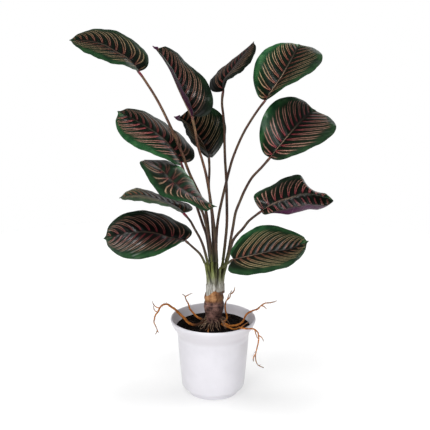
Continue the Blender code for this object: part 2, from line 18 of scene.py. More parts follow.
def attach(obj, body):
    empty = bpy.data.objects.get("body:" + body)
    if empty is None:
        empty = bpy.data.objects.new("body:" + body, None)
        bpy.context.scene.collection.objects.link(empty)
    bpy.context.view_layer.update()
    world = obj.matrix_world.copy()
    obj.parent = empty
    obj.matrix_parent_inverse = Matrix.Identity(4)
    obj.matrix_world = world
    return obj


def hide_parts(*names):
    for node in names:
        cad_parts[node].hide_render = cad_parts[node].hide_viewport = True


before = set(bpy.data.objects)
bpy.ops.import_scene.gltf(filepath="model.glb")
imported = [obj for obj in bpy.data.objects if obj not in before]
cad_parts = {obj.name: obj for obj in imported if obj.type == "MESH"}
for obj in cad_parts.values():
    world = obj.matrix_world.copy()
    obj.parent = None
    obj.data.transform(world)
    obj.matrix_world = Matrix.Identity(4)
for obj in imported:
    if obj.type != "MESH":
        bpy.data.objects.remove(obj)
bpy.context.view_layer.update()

print("packed nodes:", len(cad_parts))

# %% [markdown]
# ## The camera
# The picture was taken from a little above the leaves' middle, with a long lens, so the pot's rim
# is a shallow oval and the far leaves are hardly smaller than the near ones. A long lens far away
# gives the same picture. The camera comes first so that every later step can be looked at.

# %% Place the camera
MM = 0.001
CAMERA_PLACE = (0.003, -1.9, 0.875)
CAMERA_PITCH = 16.69          # degrees down from level

bpy.ops.object.camera_add(location=CAMERA_PLACE, rotation=(math.radians(90 - CAMERA_PITCH), 0, 0))
camera = bpy.context.object
camera.name = "studio_camera"
camera.data.lens = 103.65
camera.data.sensor_width = 36
bpy.context.scene.camera = camera
print("camera", CAMERA_PLACE, "lens", round(camera.data.lens, 1))

# %% [markdown]
# ## Working like a modeller
# Operators act on whatever is selected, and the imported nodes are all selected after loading. These
# helpers pick one object alone, apply a modifier to it, or settle it in the model once it is done.

# %% Helpers that pick, modify and settle
def pick(thing):
    bpy.ops.object.select_all(action="DESELECT")
    thing.select_set(True)
    bpy.context.view_layer.objects.active = thing


def apply_modifier(thing, kind, **settings):
    pick(thing)
    modifier = thing.modifiers.new(kind.lower(), kind)
    for key, value in settings.items():
        setattr(modifier, key, value)
    bpy.ops.object.modifier_apply(modifier=modifier.name)


def settle(thing, name, material=None, node=None):
    """Fixes a finished piece: its place goes into its mesh, and it rides on the plant."""
    pick(thing)
    bpy.ops.object.transform_apply(location=True, rotation=True, scale=True)
    thing.name = name
    thing.data.name = name
    if material:
        thing.data.materials.clear()
        thing.data.materials.append(material)
    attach(thing, "root")
    if node:
        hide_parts(node)


bpy.ops.object.select_all(action="DESELECT")
print("nothing is selected:", not bpy.context.selected_objects)

# %% [markdown]
# ## Arithmetic with nodes
# Each finish is a network of nodes on a Principled shader. Two short classes add the nodes, so that
# a finish below reads as a recipe: take a coordinate, make a pattern, mix colours with it. The first
# class does the arithmetic. Each call adds a node or two and returns the socket with the result, so
# that the next call can take it.

# %% A helper for node arithmetic
class Nodes:
    def __init__(self, tree):
        self.tree = tree

    def give(self, socket, value):
        """Links another node's result to a socket, or sets the socket to a plain value."""
        if isinstance(value, bpy.types.NodeSocket):
            self.tree.links.new(value, socket)
        else:
            socket.default_value = value

    def node(self, kind, *values, out=0, **settings):
        node = self.tree.nodes.new(kind)
        for key, value in settings.items():
            setattr(node, key, value)
        for place, value in enumerate(values):
            if value is not None:
                self.give(node.inputs[place], value)
        return node.outputs[out]

    def math(self, operation, a, b=None, clamp=False):
        return self.node("ShaderNodeMath", a, b, operation=operation, use_clamp=clamp)

    def times(self, a, b):
        return self.math("MULTIPLY", a, b)

    def plus(self, a, b):
        return self.math("ADD", a, b)

    def minus(self, a, b, clamp=False):
        return self.math("SUBTRACT", a, b, clamp)

    def rest(self, a):
        """What is left of 1."""
        return self.minus(1.0, a)

    def gap(self, a, b):
        """How far apart two values are."""
        return self.math("ABSOLUTE", self.minus(a, b))

    def rise(self, value, low, high):
        """Goes smoothly from 0 at low to 1 at high, which may be the smaller of the two."""
        return self.node("ShaderNodeMapRange", value, low, high, 0.0, 1.0, interpolation_type="SMOOTHSTEP")

    def split(self, vector):
        node = self.tree.nodes.new("ShaderNodeSeparateXYZ")
        self.give(node.inputs[0], vector)
        return node.outputs[0], node.outputs[1], node.outputs[2]


print("node arithmetic ready")

# %% [markdown]
# ## Patterns, colours and the shader
# The second class makes a material. It adds what a pattern starts from, which is the place on the
# object or a number that the piece's points carry, then noise, colours, and the shader's sockets.
# Colours are given as the eye reads them, from 0 to 255, and changed to linear light here.

# %% A helper for node finishes
def linear(colour):
    channels = [c / 255 for c in colour]
    return tuple(c / 12.92 if c <= 0.04045 else ((c + 0.055) / 1.055) ** 2.4 for c in channels) + (1.0,)


class Finish(Nodes):
    def __init__(self, name, roughness=0.5, specular=0.5):
        self.material = bpy.data.materials.new(name)
        self.material.use_nodes = True
        super().__init__(self.material.node_tree)
        self.shader = self.tree.nodes["Principled BSDF"]
        self.shader.inputs["Roughness"].default_value = roughness
        self.shader.inputs["Specular IOR Level"].default_value = specular

    def place(self):
        """The point's place on the object, in metres."""
        return self.node("ShaderNodeTexCoord", out=3)

    def number(self, attribute):
        """The number that each point of a piece carries under this name."""
        return self.node("ShaderNodeAttribute", out=2, attribute_name=attribute)

    def numbers(self, attribute):
        """The three numbers that each point of a piece carries under this name."""
        return self.split(self.node("ShaderNodeAttribute", out=1, attribute_name=attribute))

    def stretch(self, vector, scale):
        return self.node("ShaderNodeMapping", vector, None, None, scale)

    def grain(self, vector, scale, detail=4.0, rough=0.55):
        node = self.tree.nodes.new("ShaderNodeTexNoise")
        self.give(node.inputs["Vector"], vector)
        node.inputs["Scale"].default_value = scale
        node.inputs["Detail"].default_value = detail
        node.inputs["Roughness"].default_value = rough
        return node.outputs[0]

    def mix(self, share, a, b):
        """Goes from colour a to colour b as the share goes from 0 to 1."""
        node = self.tree.nodes.new("ShaderNodeMix")
        node.data_type = "RGBA"
        self.give(node.inputs[0], share)
        self.give(node.inputs[6], linear(a) if isinstance(a, tuple) else a)
        self.give(node.inputs[7], linear(b) if isinstance(b, tuple) else b)
        return node.outputs[2]

    def dim(self, colour, tone):
        """Makes a colour darker or lighter by a factor."""
        factor = self.node("ShaderNodeCombineXYZ", tone, tone, tone)
        return self.node("ShaderNodeVectorMath", colour, factor, operation="MULTIPLY")

    def colour(self, value):
        self.give(self.shader.inputs["Base Color"], value)

    def roughen(self, value, low, high):
        spread = self.node("ShaderNodeMapRange", value, 0.3, 0.7, low, high)
        self.give(self.shader.inputs["Roughness"], spread)

    def bump(self, height, strength, distance):
        node = self.tree.nodes.new("ShaderNodeBump")
        node.inputs["Strength"].default_value = strength
        node.inputs["Distance"].default_value = distance
        self.give(node.inputs["Height"], height)
        self.give(self.shader.inputs["Normal"], node.outputs[0])


print("finish helper ready")

# %% [markdown]
# ## The pot's plastic
# The pot is injection moulded in glossy white plastic with a faint lilac cast. Moulded plastic is
# never quite flat: it has a very fine orange-peel surface and slow waves, and a little grey dust
# gathers near the foot. Three noises at different scales give these. Heights set painted shade: a
# grey shadow line in the crease above the foot ring and a dim band in the hollow under the lip.

# %% Finish: white plastic
GROOVE_HEIGHT = 0.0078        # just above the foot ring
DUST_HEIGHT = 0.03
# The band in the hollow under the lip is painted shade.
HOLLOW_FOOT, HOLLOW_TOP = (0.098, 0.107), (0.128, 0.120)      # the dim band fades in and out here

plastic = Finish("white_moulded_plastic", roughness=0.3)
spot = plastic.place()
height = plastic.split(spot)[2]
clouds = plastic.grain(spot, 26.0, 3.0)
peel = plastic.grain(spot, 900.0, 2.0)
waves = plastic.grain(spot, 14.0, 0.0)
dust = plastic.times(plastic.rise(height, DUST_HEIGHT, 0.0), plastic.rise(clouds, 0.4, 0.7))
# Painted shade: a grey shadow line in the crease above the foot ring.
crease_shade = plastic.rest(plastic.rise(plastic.gap(height, GROOVE_HEIGHT), 0.0002, 0.0013))
# Painted shade: a dim band in the hollow under the lip, where the collar faces down.
hollow_shade = plastic.times(plastic.rise(height, *HOLLOW_FOOT), plastic.rise(height, *HOLLOW_TOP))
white = plastic.mix(plastic.rise(clouds, 0.3, 0.7), (228, 226, 232), (234, 232, 238))
dusty = plastic.mix(plastic.times(dust, 0.12), white, (196, 192, 192))
shaded = plastic.mix(plastic.times(hollow_shade, 0.6), dusty, (212, 208, 213))
plastic.colour(plastic.mix(plastic.times(crease_shade, 0.7), shaded, (164, 158, 162)))
plastic.bump(plastic.plus(peel, plastic.times(waves, 4.0)), 0.12, 0.0003)
print(plastic.material.name)

# %% [markdown]
# ## The pot
# A pot like this is a turned shape, so it can be raised from one disc: the disc is extruded upwards
# and scaled at each step of the profile, over the lip, and down the inside again. Extruding keeps
# one closed wall, with a real lip and a real thickness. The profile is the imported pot's, in
# millimetres. A narrow bevel then rounds the moulded corners.

# %% Helpers for turned shapes
def face_outwards(thing, merge=0.0):
    """Turns every face outwards, once points within the merge distance are joined."""
    pick(thing)
    bpy.ops.object.mode_set(mode="EDIT")
    bpy.ops.mesh.select_all(action="SELECT")
    if merge:
        bpy.ops.mesh.remove_doubles(threshold=merge)
    bpy.ops.mesh.normals_make_consistent(inside=False)
    bpy.ops.object.mode_set(mode="OBJECT")


def raise_disc(profile, sides):
    """Extrudes a disc along (radius, height) steps, in millimetres."""
    bpy.ops.object.select_all(action="DESELECT")
    radius, height = profile[0]
    bpy.ops.mesh.primitive_circle_add(vertices=sides, radius=radius * MM, fill_type="NGON",
                                      location=(0, 0, height * MM))
    thing = bpy.context.object
    bpy.ops.object.transform_apply(location=True)
    bpy.ops.object.mode_set(mode="EDIT")
    for step_radius, step_height in profile[1:]:
        lift = (0, 0, (step_height - height) * MM)
        bpy.ops.mesh.extrude_region_move(TRANSFORM_OT_translate={"value": lift})
        scale = step_radius / radius
        bpy.ops.transform.resize(value=(scale, scale, 1), center_override=(0, 0, step_height * MM))
        radius, height = step_radius, step_height
    bpy.ops.object.mode_set(mode="OBJECT")
    face_outwards(thing)
    return thing


def smooth_by_angle(thing, degrees):
    pick(thing)
    bpy.ops.object.shade_smooth_by_angle(angle=math.radians(degrees))


print("turned shapes ready")

# %% Raise the pot
POT_OUTSIDE = ((40.4, 0.0), (41.0, 0.7), (41.0, 7.4), (43.0, 8.0), (47.6, 9.4), (50.4, 11.4), (51.7, 14.4),
               (54.2, 42.0), (56.6, 71.0), (58.3, 96.0), (58.1, 96.6), (58.2, 97.4), (59.4, 105.0),
               (60.7, 109.0), (63.0, 112.4), (65.6, 115.8), (67.6, 119.6), (69.2, 124.0), (70.0, 127.2),
               (69.6, 129.2), (68.6, 130.0))
POT_INSIDE = ((67.5, 129.6), (66.8, 128.0), (65.4, 123.2), (63.4, 118.4), (60.9, 114.6), (58.2, 110.8),
              (56.2, 98.0), (54.2, 71.0), (49.3, 17.0), (47.0, 13.0), (40.6, 10.4), (38.8, 9.0), (38.6, 2.4))
pot = raise_disc(POT_OUTSIDE + POT_INSIDE, 128)
apply_modifier(pot, "BEVEL", width=0.0005, segments=2, limit_method="ANGLE", angle_limit=math.radians(34))
smooth_by_angle(pot, 42)
settle(pot, "moulded_pot", plastic.material, "pot")
print("pot faces:", len(pot.data.polygons))

# %% [markdown]
# ## The potting mix
# The mix is dark, moist and crumbly. Its surface is raised as one closed body inside the pot, with
# many rings across the top, and those rings are lifted by noise so that the surface is uneven and
# heaps a little against the corm. Loose crumbs and bark chips come after it.

# %% Finish: dark potting mix
earth = Finish("dark_potting_mix", roughness=0.9, specular=0.15)
spot = earth.place()
lumps = earth.grain(spot, 240.0, 6.0, 0.7)
fibres = earth.grain(earth.stretch(spot, (1.0, 4.0, 2.0)), 420.0, 3.0)
dark = earth.mix(earth.rise(lumps, 0.35, 0.75), (2, 1, 1), (17, 10, 7))
earth.colour(earth.mix(earth.rise(fibres, 0.66, 0.74), dark, (58, 38, 25)))
earth.roughen(lumps, 0.7, 0.95)
earth.bump(lumps, 0.9, 0.0016)
print(earth.material.name)

# %% Raise the soil and roughen its top
SOIL_LEVEL = 0.1157
SOIL_RELIEF = 0.0007
SOIL_RADIUS = 0.0596          # of the top, where it meets the pot's wall
PIT_RADIUS = 0.0138           # the pit in which the corm stands


def soil_height(x, y):
    """The slow relief, which the packed soil has too."""
    wave = math.cos(160 * x + 0.6) * math.cos(130 * y - 0.4) + 0.5 * math.cos(310 * x - 240 * y)
    return SOIL_LEVEL + SOIL_RELIEF * wave


soil_wall = ((38.0, 2.7), (38.2, 9.3), (40.0, 10.7), (46.4, 13.3), (48.7, 17.3), (53.6, 71.3),
             (55.6, 98.3), (57.6, 111.1), (60.3, 115.0))
soil_top = tuple((SOIL_RADIUS / MM - 1.5 * ring, SOIL_LEVEL / MM) for ring in range(37))
soil = raise_disc(soil_wall + soil_top, 112)
for vertex in soil.data.vertices:
    place = vertex.co
    reach = math.hypot(place.x, place.y)
    if place.z > SOIL_LEVEL - 0.0002:
        rough = noise.fractal(place * 160, 0.9, 2.0, 4) + 0.6 * noise.noise(place * 700)
        heap = 0.0012 * math.exp(-((reach - PIT_RADIUS) / 0.006) ** 2)
        calm = min(1.0, max(0.15, (SOIL_RADIUS - reach) / 0.010))
        place.z = SOIL_LEVEL + calm * (soil_height(place.x, place.y) - SOIL_LEVEL + 0.0009 * rough + heap)
smooth_by_angle(soil, 60)
settle(soil, "potting_mix", earth.material, "soil")
print("soil faces:", len(soil.data.polygons))

# %% [markdown]
# Crumbs are small lumps of the same mix, and chips are flat bits of bark. One rough lump and one
# chip are enough: hundreds of turned and scaled copies of them lie on the surface as a single piece.

# %% A rough lump and a flat chip
def rough_lump(scale, seed):
    """The corners and faces of one lump, to be copied many times."""
    bpy.ops.object.select_all(action="DESELECT")
    bpy.ops.mesh.primitive_ico_sphere_add(subdivisions=2, radius=1.0)
    lump = bpy.context.object
    for vertex in lump.data.vertices:
        vertex.co *= 1.0 + 0.35 * noise.noise(vertex.co * 1.4 + Vector((seed, 0, 0)))
        vertex.co = Vector((vertex.co.x * scale[0], vertex.co.y * scale[1], vertex.co.z * scale[2]))
    corners = [v.co.copy() for v in lump.data.vertices]
    faces = [tuple(p.vertices) for p in lump.data.polygons]
    bpy.data.objects.remove(lump)
    return corners, faces


crumb_shape = rough_lump((1.0, 0.8, 0.7), seed=3)
chip_shape = rough_lump((1.0, 0.45, 0.16), seed=8)
print("corners of a lump:", len(crumb_shape[0]))

# %% Scatter the crumbs
def scatter(shape, count, sizes, inner, outer, seed, lift):
    """Copies a shape over the soil between two radii, each copy turned and sized on its own."""
    chance = random.Random(seed)
    corners, faces = shape
    verts, polygons = [], []
    for _ in range(count):
        angle = chance.uniform(0, math.tau)
        reach = math.sqrt(chance.uniform(inner ** 2, outer ** 2))
        x, y = reach * math.cos(angle), reach * math.sin(angle)
        size = chance.uniform(*sizes)
        turn = Matrix.Rotation(chance.uniform(0, math.tau), 3, "Z")
        tilt = Matrix.Rotation(chance.uniform(-0.6, 0.6), 3, "X")
        base = Vector((x, y, soil_height(x, y) + size * lift))
        start = len(verts)
        verts += [base + turn @ (tilt @ (corner * size)) for corner in corners]
        polygons += [tuple(start + i for i in face) for face in faces]
    return verts, polygons


def new_piece(name, verts, faces):
    """Makes an object of the given corners and faces."""
    mesh = bpy.data.meshes.new(name)
    mesh.from_pydata([tuple(v) for v in verts], [], faces)
    thing = bpy.data.objects.new(name, mesh)
    bpy.context.collection.objects.link(thing)
    return thing


verts, faces = scatter(crumb_shape, count=620, sizes=(0.0006, 0.0017), inner=0.0145, outer=0.0585,
                       seed=11, lift=0.2)
crumbs = new_piece("crumbs", verts, faces)
settle(crumbs, "soil_crumbs", earth.material)
print("crumb faces:", len(faces))

# %% Finish and place the bark chips
bark = Finish("bark_chip", roughness=0.8, specular=0.3)
spot = bark.place()
streaks = bark.grain(bark.stretch(spot, (1.0, 3.0, 1.0)), 300.0, 4.0)
bark.colour(bark.mix(bark.rise(streaks, 0.35, 0.7), (14, 9, 6), (56, 35, 22)))
bark.roughen(streaks, 0.65, 0.9)
bark.bump(streaks, 0.7, 0.0008)
verts, faces = scatter(chip_shape, count=90, sizes=(0.0016, 0.0034), inner=0.0150, outer=0.0575,
                       seed=23, lift=0.25)
chips = new_piece("chips", verts, faces)
settle(chips, "bark_chips", bark.material)
print("chip faces:", len(faces))

# %% [markdown]
# ## Smooth lines
# Stalks, roots and the ribs of leaves are curves through a few measured points. The same smooth
# line serves them all: it passes through each point, and it can be read anywhere along its length.

# %% A smooth line through points
def metres(point):
    return Vector(point) * MM


class SmoothLine:
    """A curve through points. Knots are the shares of its length at which it meets them."""

    def __init__(self, points, knots=None):
        self.points = points
        chords = [(b - a).length for a, b in zip(points, points[1:])]
        self.length = sum(chords)
        self.knots = knots or [sum(chords[:i]) / self.length for i in range(len(points))]
        p, k = self.points, self.knots
        inner = [(p[i + 1] - p[i - 1]) / (k[i + 1] - k[i - 1]) for i in range(1, len(p) - 1)]
        if not inner:
            self.slopes = [p[1] - p[0]] * 2
            return
        first = 2 * (p[1] - p[0]) / (k[1] - k[0]) - inner[0]
        last = 2 * (p[-1] - p[-2]) / (k[-1] - k[-2]) - inner[-1]
        self.slopes = [first] + inner + [last]

    def at(self, share):
        """The point at a share of the length, from 0 to 1."""
        i = max([0] + [n for n in range(len(self.knots) - 1) if self.knots[n] <= share])
        span = self.knots[i + 1] - self.knots[i]
        u = (share - self.knots[i]) / span
        a, b = self.points[i], self.points[i + 1]
        m, n = self.slopes[i] * span, self.slopes[i + 1] * span
        return ((2 * u**3 - 3 * u**2 + 1) * a + (u**3 - 2 * u**2 + u) * m
                + (3 * u**2 - 2 * u**3) * b + (u**3 - u**2) * n)

    def heading(self, share):
        """The direction in which the line runs there."""
        step = 0.004
        return (self.at(min(share + step, 1.0)) - self.at(max(share - step, 0.0))).normalized()


print("smooth line ready")

# %% [markdown]
# ## Round stems along a line
# Blender's own curve is the natural tool for a stem: a line with a round bevel, whose thickness is
# set at every point. It is then changed to a mesh, its coinciding points are merged, and its faces
# are turned outwards.

# %% A stem from a curve
MERGE_DISTANCE = 0.000001


def stem(name, points, radii, sides=12):
    """A closed round stem through points, with a radius at each."""
    bpy.ops.object.select_all(action="DESELECT")
    bpy.ops.curve.primitive_nurbs_path_add()
    line = bpy.context.object
    line.data.splines.clear()
    spline = line.data.splines.new("POLY")
    spline.points.add(len(points) - 1)
    for target, place, radius in zip(spline.points, points, radii):
        target.co = (*place, 1.0)
        target.radius = radius
    line.data.dimensions = "3D"
    line.data.twist_mode = "MINIMUM"
    line.data.bevel_depth = 1.0
    line.data.bevel_resolution = sides // 4 - 1
    line.data.use_fill_caps = True
    bpy.ops.object.convert(target="MESH")
    line.name = name
    face_outwards(line, MERGE_DISTANCE)
    bpy.ops.object.shade_smooth()
    return line


def join(things):
    pick(things[0])
    for thing in things:
        thing.select_set(True)
    bpy.ops.object.join()
    return bpy.context.object


print("stem helper ready")

# %% [markdown]
# A finish often has to know where on a stem it is. Each point of the stem's mesh can carry numbers
# of its own, called an attribute, and the finish reads them by name.

# %% Numbers that points carry
def nearest_ring(rings, vertex):
    """The number of the stem's ring to which a point of its mesh belongs."""
    return min(range(len(rings)), key=lambda i: (rings[i] - vertex.co).length_squared)


def carry(thing, name, given):
    """Stores a number, or three, for each point of a piece, so that its finish can read them."""
    kind, field = ("FLOAT", "value") if isinstance(given[0], float) else ("FLOAT_VECTOR", "vector")
    attribute = thing.data.attributes.new(name, kind, "POINT")
    for point, value in zip(attribute.data, given):
        setattr(point, field, value)


print("attribute helper ready")

# %% [markdown]
# ## The stalks
# Each leaf stands on a long round stalk, brown with an olive foot, which swells into a short joint
# just under the blade. Some joints are bright pink, others hardly so. Two point attributes steer the
# colours: "joint" says how near a point is to the blade, and "pale" holds how pale the olive foot is
# and how light the brown grows higher up.

# %% Finish: brown stalk
stalk_skin = Finish("brown_stalk", roughness=0.42, specular=0.45)
spot = stalk_skin.place()
height = stalk_skin.split(spot)[2]
streaks = stalk_skin.grain(stalk_skin.stretch(spot, (1.0, 1.0, 0.06)), 900.0, 3.0)
blotch = stalk_skin.grain(spot, 55.0, 3.0)
joint = stalk_skin.number("joint")
pale, tone, _ = stalk_skin.numbers("pale")
brown = stalk_skin.mix(stalk_skin.rise(streaks, 0.35, 0.68), (32, 19, 14), (90, 60, 45))
brown = stalk_skin.mix(stalk_skin.times(stalk_skin.rise(blotch, 0.45, 0.7), 0.5), brown, (96, 80, 52))
high = stalk_skin.rise(height, 0.32, 0.40)
light = stalk_skin.plus(1.0, stalk_skin.times(high, stalk_skin.minus(tone, 1.0)))
brown = stalk_skin.dim(brown, light)
pale_streaks = stalk_skin.times(stalk_skin.rise(streaks, 0.3, 0.7), pale)
olive = stalk_skin.mix(pale_streaks, (40, 34, 14), (106, 114, 50))
wander = stalk_skin.plus(height, stalk_skin.times(blotch, 0.03))
body = stalk_skin.mix(stalk_skin.rise(wander, 0.275, 0.238), brown, olive)
pink = stalk_skin.mix(stalk_skin.rise(joint, 0.9, 1.2), (118, 56, 64), (150, 20, 66))
stalk_skin.colour(stalk_skin.mix(stalk_skin.rise(joint, 0.1, 0.6), body, pink))
stalk_skin.roughen(streaks, 0.36, 0.5)
stalk_skin.bump(streaks, 0.35, 0.0004)
print(stalk_skin.material.name)

# %% The stalks' routes, in millimetres
STALKS = {
    "top_left": ((-1, 1, 226), (-7, 3, 274), (-13, 4, 317), (-23, 5, 341), (-37, 4, 372), (-51, -3, 413),
                 (-66, -12, 452), (-85, -22, 495), (-105, -32, 531), (-114, -35, 544)),
    "upper_left": ((6, -8, 229), (3, -11, 275), (-3, -14, 326), (-11, -16, 376), (-17, -17, 400),
                   (-24, -19, 425), (-28, -21, 449), (-33, -22, 472)),
    "top_centre": ((16, 4, 228), (19, 5, 253), (22, 6, 287), (22, 6, 320), (21, 6, 362), (19, 6, 395),
                   (18, 6, 427), (18, 6, 443), (16, 7, 467), (14, 8, 486), (16, 10, 505)),
    "top_right": ((5, 0, 226), (5, -1, 255), (6, -2, 281), (9, -3, 306), (14, -4, 331), (19, -4, 353),
                  (25, -4, 378), (31, -4, 400), (42, -3, 428), (52, -1, 448), (70, 2, 476), (82, 5, 491)),
    "right": ((21, 2, 227), (25, 2, 243), (28, 1, 262), (32, -3, 287), (36, -10, 313), (43, -16, 334),
              (50, -19, 352), (61, -22, 373), (76, -26, 391), (89, -30, 408)),
    "lower_right": ((22, -6, 226), (27, -9, 247), (31, -12, 264), (38, -19, 278), (47, -28, 291),
                    (56, -36, 306), (66, -43, 317), (76, -50, 327)),
    "bottom_right": ((14, -14, 221), (17.6, -19, 225.4), (22, -25, 231), (27.5, -32.5, 238), (33, -40, 244)),
    "centre": ((2, 8, 223), (0, 9, 260), (-2, 13, 301), (-5, 18, 325), (-7, 25, 348), (-6, 32, 371),
               (-7, 38, 392)),
    "left_upper": ((-5, 6, 224), (-7, 8, 244), (-11, 11, 269), (-17, 13, 286), (-27, 17, 316),
                   (-37, 21, 341), (-45, 26, 365), (-52, 30, 385)),
    "left_middle": ((-2, -11, 230), (-4, -11, 247), (-7, -11, 273), (-12, -12, 296), (-19, -13, 318),
                    (-34, -13, 330), (-52, -12, 344), (-71, -10, 360), (-88, -8, 374), (-99, -6, 382),
                    (-106, -6, 388), (-109, -8, 392), (-107, -9, 397)),
    "left_lower": ((-9, -11, 228), (-15, -18, 256), (-21, -24, 274), (-29, -30, 291), (-36, -38, 307),
                   (-47, -50, 324)),
    "bottom_left": ((-14, -12, 229), (-21, -20, 246), (-33, -34, 263), (-44, -48, 278)),
}
FOOT_RADIUS, TOP_RADIUS, JOINT_RADIUS = 0.0025, 0.0019, 0.0022
JOINT_LENGTH = 0.011
SLIM_STALKS = {"top_left": 1.05, "bottom_left": 0.86, "left_lower": 0.92, "bottom_right": 0.9}
# How pale each sheath and olive stalk foot is: partly its own colour and partly painted light and shade,
# paler on the left, where the light comes from, and darker on the right.
PALE = {"bottom_left": 0.85, "left_lower": 0.85, "left_middle": 0.9, "upper_left": 0.2, "bottom_right": 0.6,
        "lower_right": 0.55, "right": 0.4, "top_centre": 0.4, "top_left": 0.3, "top_right": 0.2,
        "centre": 0.4, "left_upper": 0.5}
STALK_TONES = {"top_left": 2.3, "upper_left": 2.8, "left_upper": 1.7, "centre": 1.2, "top_centre": 0.9,
               "top_right": 1.1, "right": 1.2, "lower_right": 1.3}
JOINT_BLUSH = {"top_left": 1.0, "left_lower": 1.4, "upper_left": 0.5, "left_upper": 1.2}
print("stalks:", len(STALKS))

# %% Make the stalks
def stalk_radius(line, share, slim):
    """A taper with a swelling at the joint and faint knots on the way."""
    radius = slim * (FOOT_RADIUS + (TOP_RADIUS - FOOT_RADIUS) * share)
    near = max(0.0, 1.0 - (1.0 - share) * line.length / JOINT_LENGTH)
    swell = math.sin(math.pi * min(1.0, 0.12 + near)) if near else 0.0
    knots = 1.0 + 0.035 * noise.noise(line.at(share) * 70)
    return (radius + (JOINT_RADIUS - radius) * max(0.0, swell)) * knots


for name, route in STALKS.items():
    line = SmoothLine([metres(p) for p in route])
    count = max(24, round(line.length / 0.0032))
    shares = [i / (count - 1) for i in range(count)]
    slim = SLIM_STALKS.get(name, 1.0)
    stalk = stem("stalk", [line.at(s) for s in shares], [stalk_radius(line, s, slim) for s in shares], 16)
    end = line.at(1.0)
    blush = JOINT_BLUSH.get(name, 0.35)
    carry(stalk, "joint", [blush * max(0.0, 1.0 - (vertex.co - end).length / (1.35 * JOINT_LENGTH))
                           for vertex in stalk.data.vertices])
    carry(stalk, "pale", [(PALE[name], STALK_TONES.get(name, 1.0), 0.0)] * len(stalk.data.vertices))
    settle(stalk, "stalk_" + name, stalk_skin.material, "petiole_" + name)
print("stalks made:", len(STALKS))

# %% [markdown]
# ## The leaf's upper face
# The upper face is nearly black green with a brighter green margin. Fine stripes in pairs leave the
# rib, red near it and tan further out, sweep forward, and end before the margin. The leaf's UV map
# runs across in U and from base to tip in V, so the stripes are plain arithmetic: for each point the
# place on the rib where its stripe starts is worked out, and counting along the rib gives the pairs.
# Leaves differ, and so do the halves of one leaf, because they face the light differently: how light
# the ground of a half is, and partly how bright its stripes are, is painted light and shade. Each leaf
# therefore carries three point attributes: "stripes" (how far they sweep, how pink and how bright
# they are), "ground" (how light, with painted light and shade, how green and how glossy the leaf is)
# and "sway" (the place on the rib from which the stripes fan out, and how far they lean forward).

# %% Finish: striped upper face
STRIPES = 11.0                # pairs on each half of a leaf
HOOK = 0.17                   # how far a stripe hooks forward at the margin, as a share of the rib


def stripe_lines(finish):
    """Distance from the rib, place along it, and the stripe that a point is on.
    Stripes leave the rib squarely at the fan's centre, which is the leaf's base on most leaves,
    sweep forward more and more beyond it, and gather into the tip. The lean adds to the sweep, and
    on the tip's half of the leaf each stripe hooks forward close to the margin."""
    across, along, _ = finish.split(finish.node("ShaderNodeUVMap"))
    sweep, pink, bright = finish.numbers("stripes")
    fan, lean, _ = finish.numbers("sway")
    out = finish.gap(finish.times(across, 2.0), 1.0)
    side = finish.math("GREATER_THAN", across, 0.5)
    swept = finish.times(finish.math("POWER", out, 1.3), sweep)
    swept = finish.times(swept, finish.rest(finish.math("POWER", along, 2.2)))
    start = finish.plus(fan, finish.times(finish.minus(along, fan), finish.rest(swept)))
    ahead = finish.times(finish.times(lean, finish.math("POWER", out, 1.5)), finish.rest(along))
    hook = finish.times(finish.math("POWER", out, 4.0), finish.rise(along, 0.3, 0.9))
    start = finish.minus(finish.minus(start, ahead), finish.times(hook, HOOK))
    wobble = finish.minus(finish.grain(finish.place(), 38.0, 2.0), 0.5)
    start = finish.plus(start, finish.times(wobble, 0.02))
    count = finish.plus(finish.times(start, STRIPES), finish.times(side, 0.42))
    return out, along, side, count, start, pink, bright


upper = Finish("striped_leaf_face", roughness=0.31)
out, along, side, count, start, pink, bright = stripe_lines(upper)
pair = upper.node("ShaderNodeCombineXYZ", upper.math("FLOOR", count), side, 0.0)
chance = upper.node("ShaderNodeTexWhiteNoise", pair, noise_dimensions="3D")
off_middle = upper.minus(upper.math("FRACT", count), 0.5)
between = upper.math("ABSOLUTE", upper.plus(off_middle, upper.times(chance, 0.12)))
apart = upper.plus(0.05, upper.times(upper.rise(out, 0.0, 0.55), 0.15))
thick = upper.plus(0.055, upper.times(upper.rise(out, 0.0, 0.4), 0.035))
line = upper.rest(upper.rise(upper.gap(between, apart), 0.01, thick))
filling = upper.rest(upper.rise(upper.minus(between, apart), -0.05, 0.06))
last = upper.plus(0.72, upper.times(chance, 0.16))
before_last = upper.rest(upper.rise(upper.minus(out, last), -0.10, 0.02))
reach = upper.times(upper.rise(out, 0.03, 0.12), before_last)
tip_fade = upper.rest(upper.rise(along, 0.92, 0.98))
reach = upper.times(reach, upper.times(tip_fade, upper.rise(start, -0.03, 0.03)))
print("stripe pairs on each half:", STRIPES)

# %% Colour the upper face
spot = upper.place()
cloud = upper.grain(spot, 60.0, 3.0)
broad = upper.rise(upper.grain(spot, 14.0, 1.0), 0.3, 0.62)
fine = upper.grain(spot, 700.0, 3.0)
patchy = upper.grain(spot, 170.0, 2.0)
tone, green, gloss = upper.numbers("ground")

edge = upper.math("MAXIMUM", upper.rise(out, 0.66, 0.92), upper.rise(along, 0.86, 0.98))
edge = upper.times(edge, upper.rise(cloud, 0.1, 0.45))
inner = upper.mix(upper.rise(between, 0.22, 0.46), (15, 10, 8), (7, 22, 12))
outer = upper.mix(green, (24, 24, 18), (12, 38, 18))
inner = upper.mix(upper.times(upper.rise(out, 0.25, 0.75), 0.8), inner, outer)
margin = upper.mix(upper.rise(cloud, 0.3, 0.7), (18, 60, 34), (50, 92, 52))
margin = upper.mix(green, (22, 26, 20), margin)
# tone is painted light and shade: it lightens or darkens each half of a leaf.
ground = upper.dim(upper.mix(edge, inner, margin), tone)

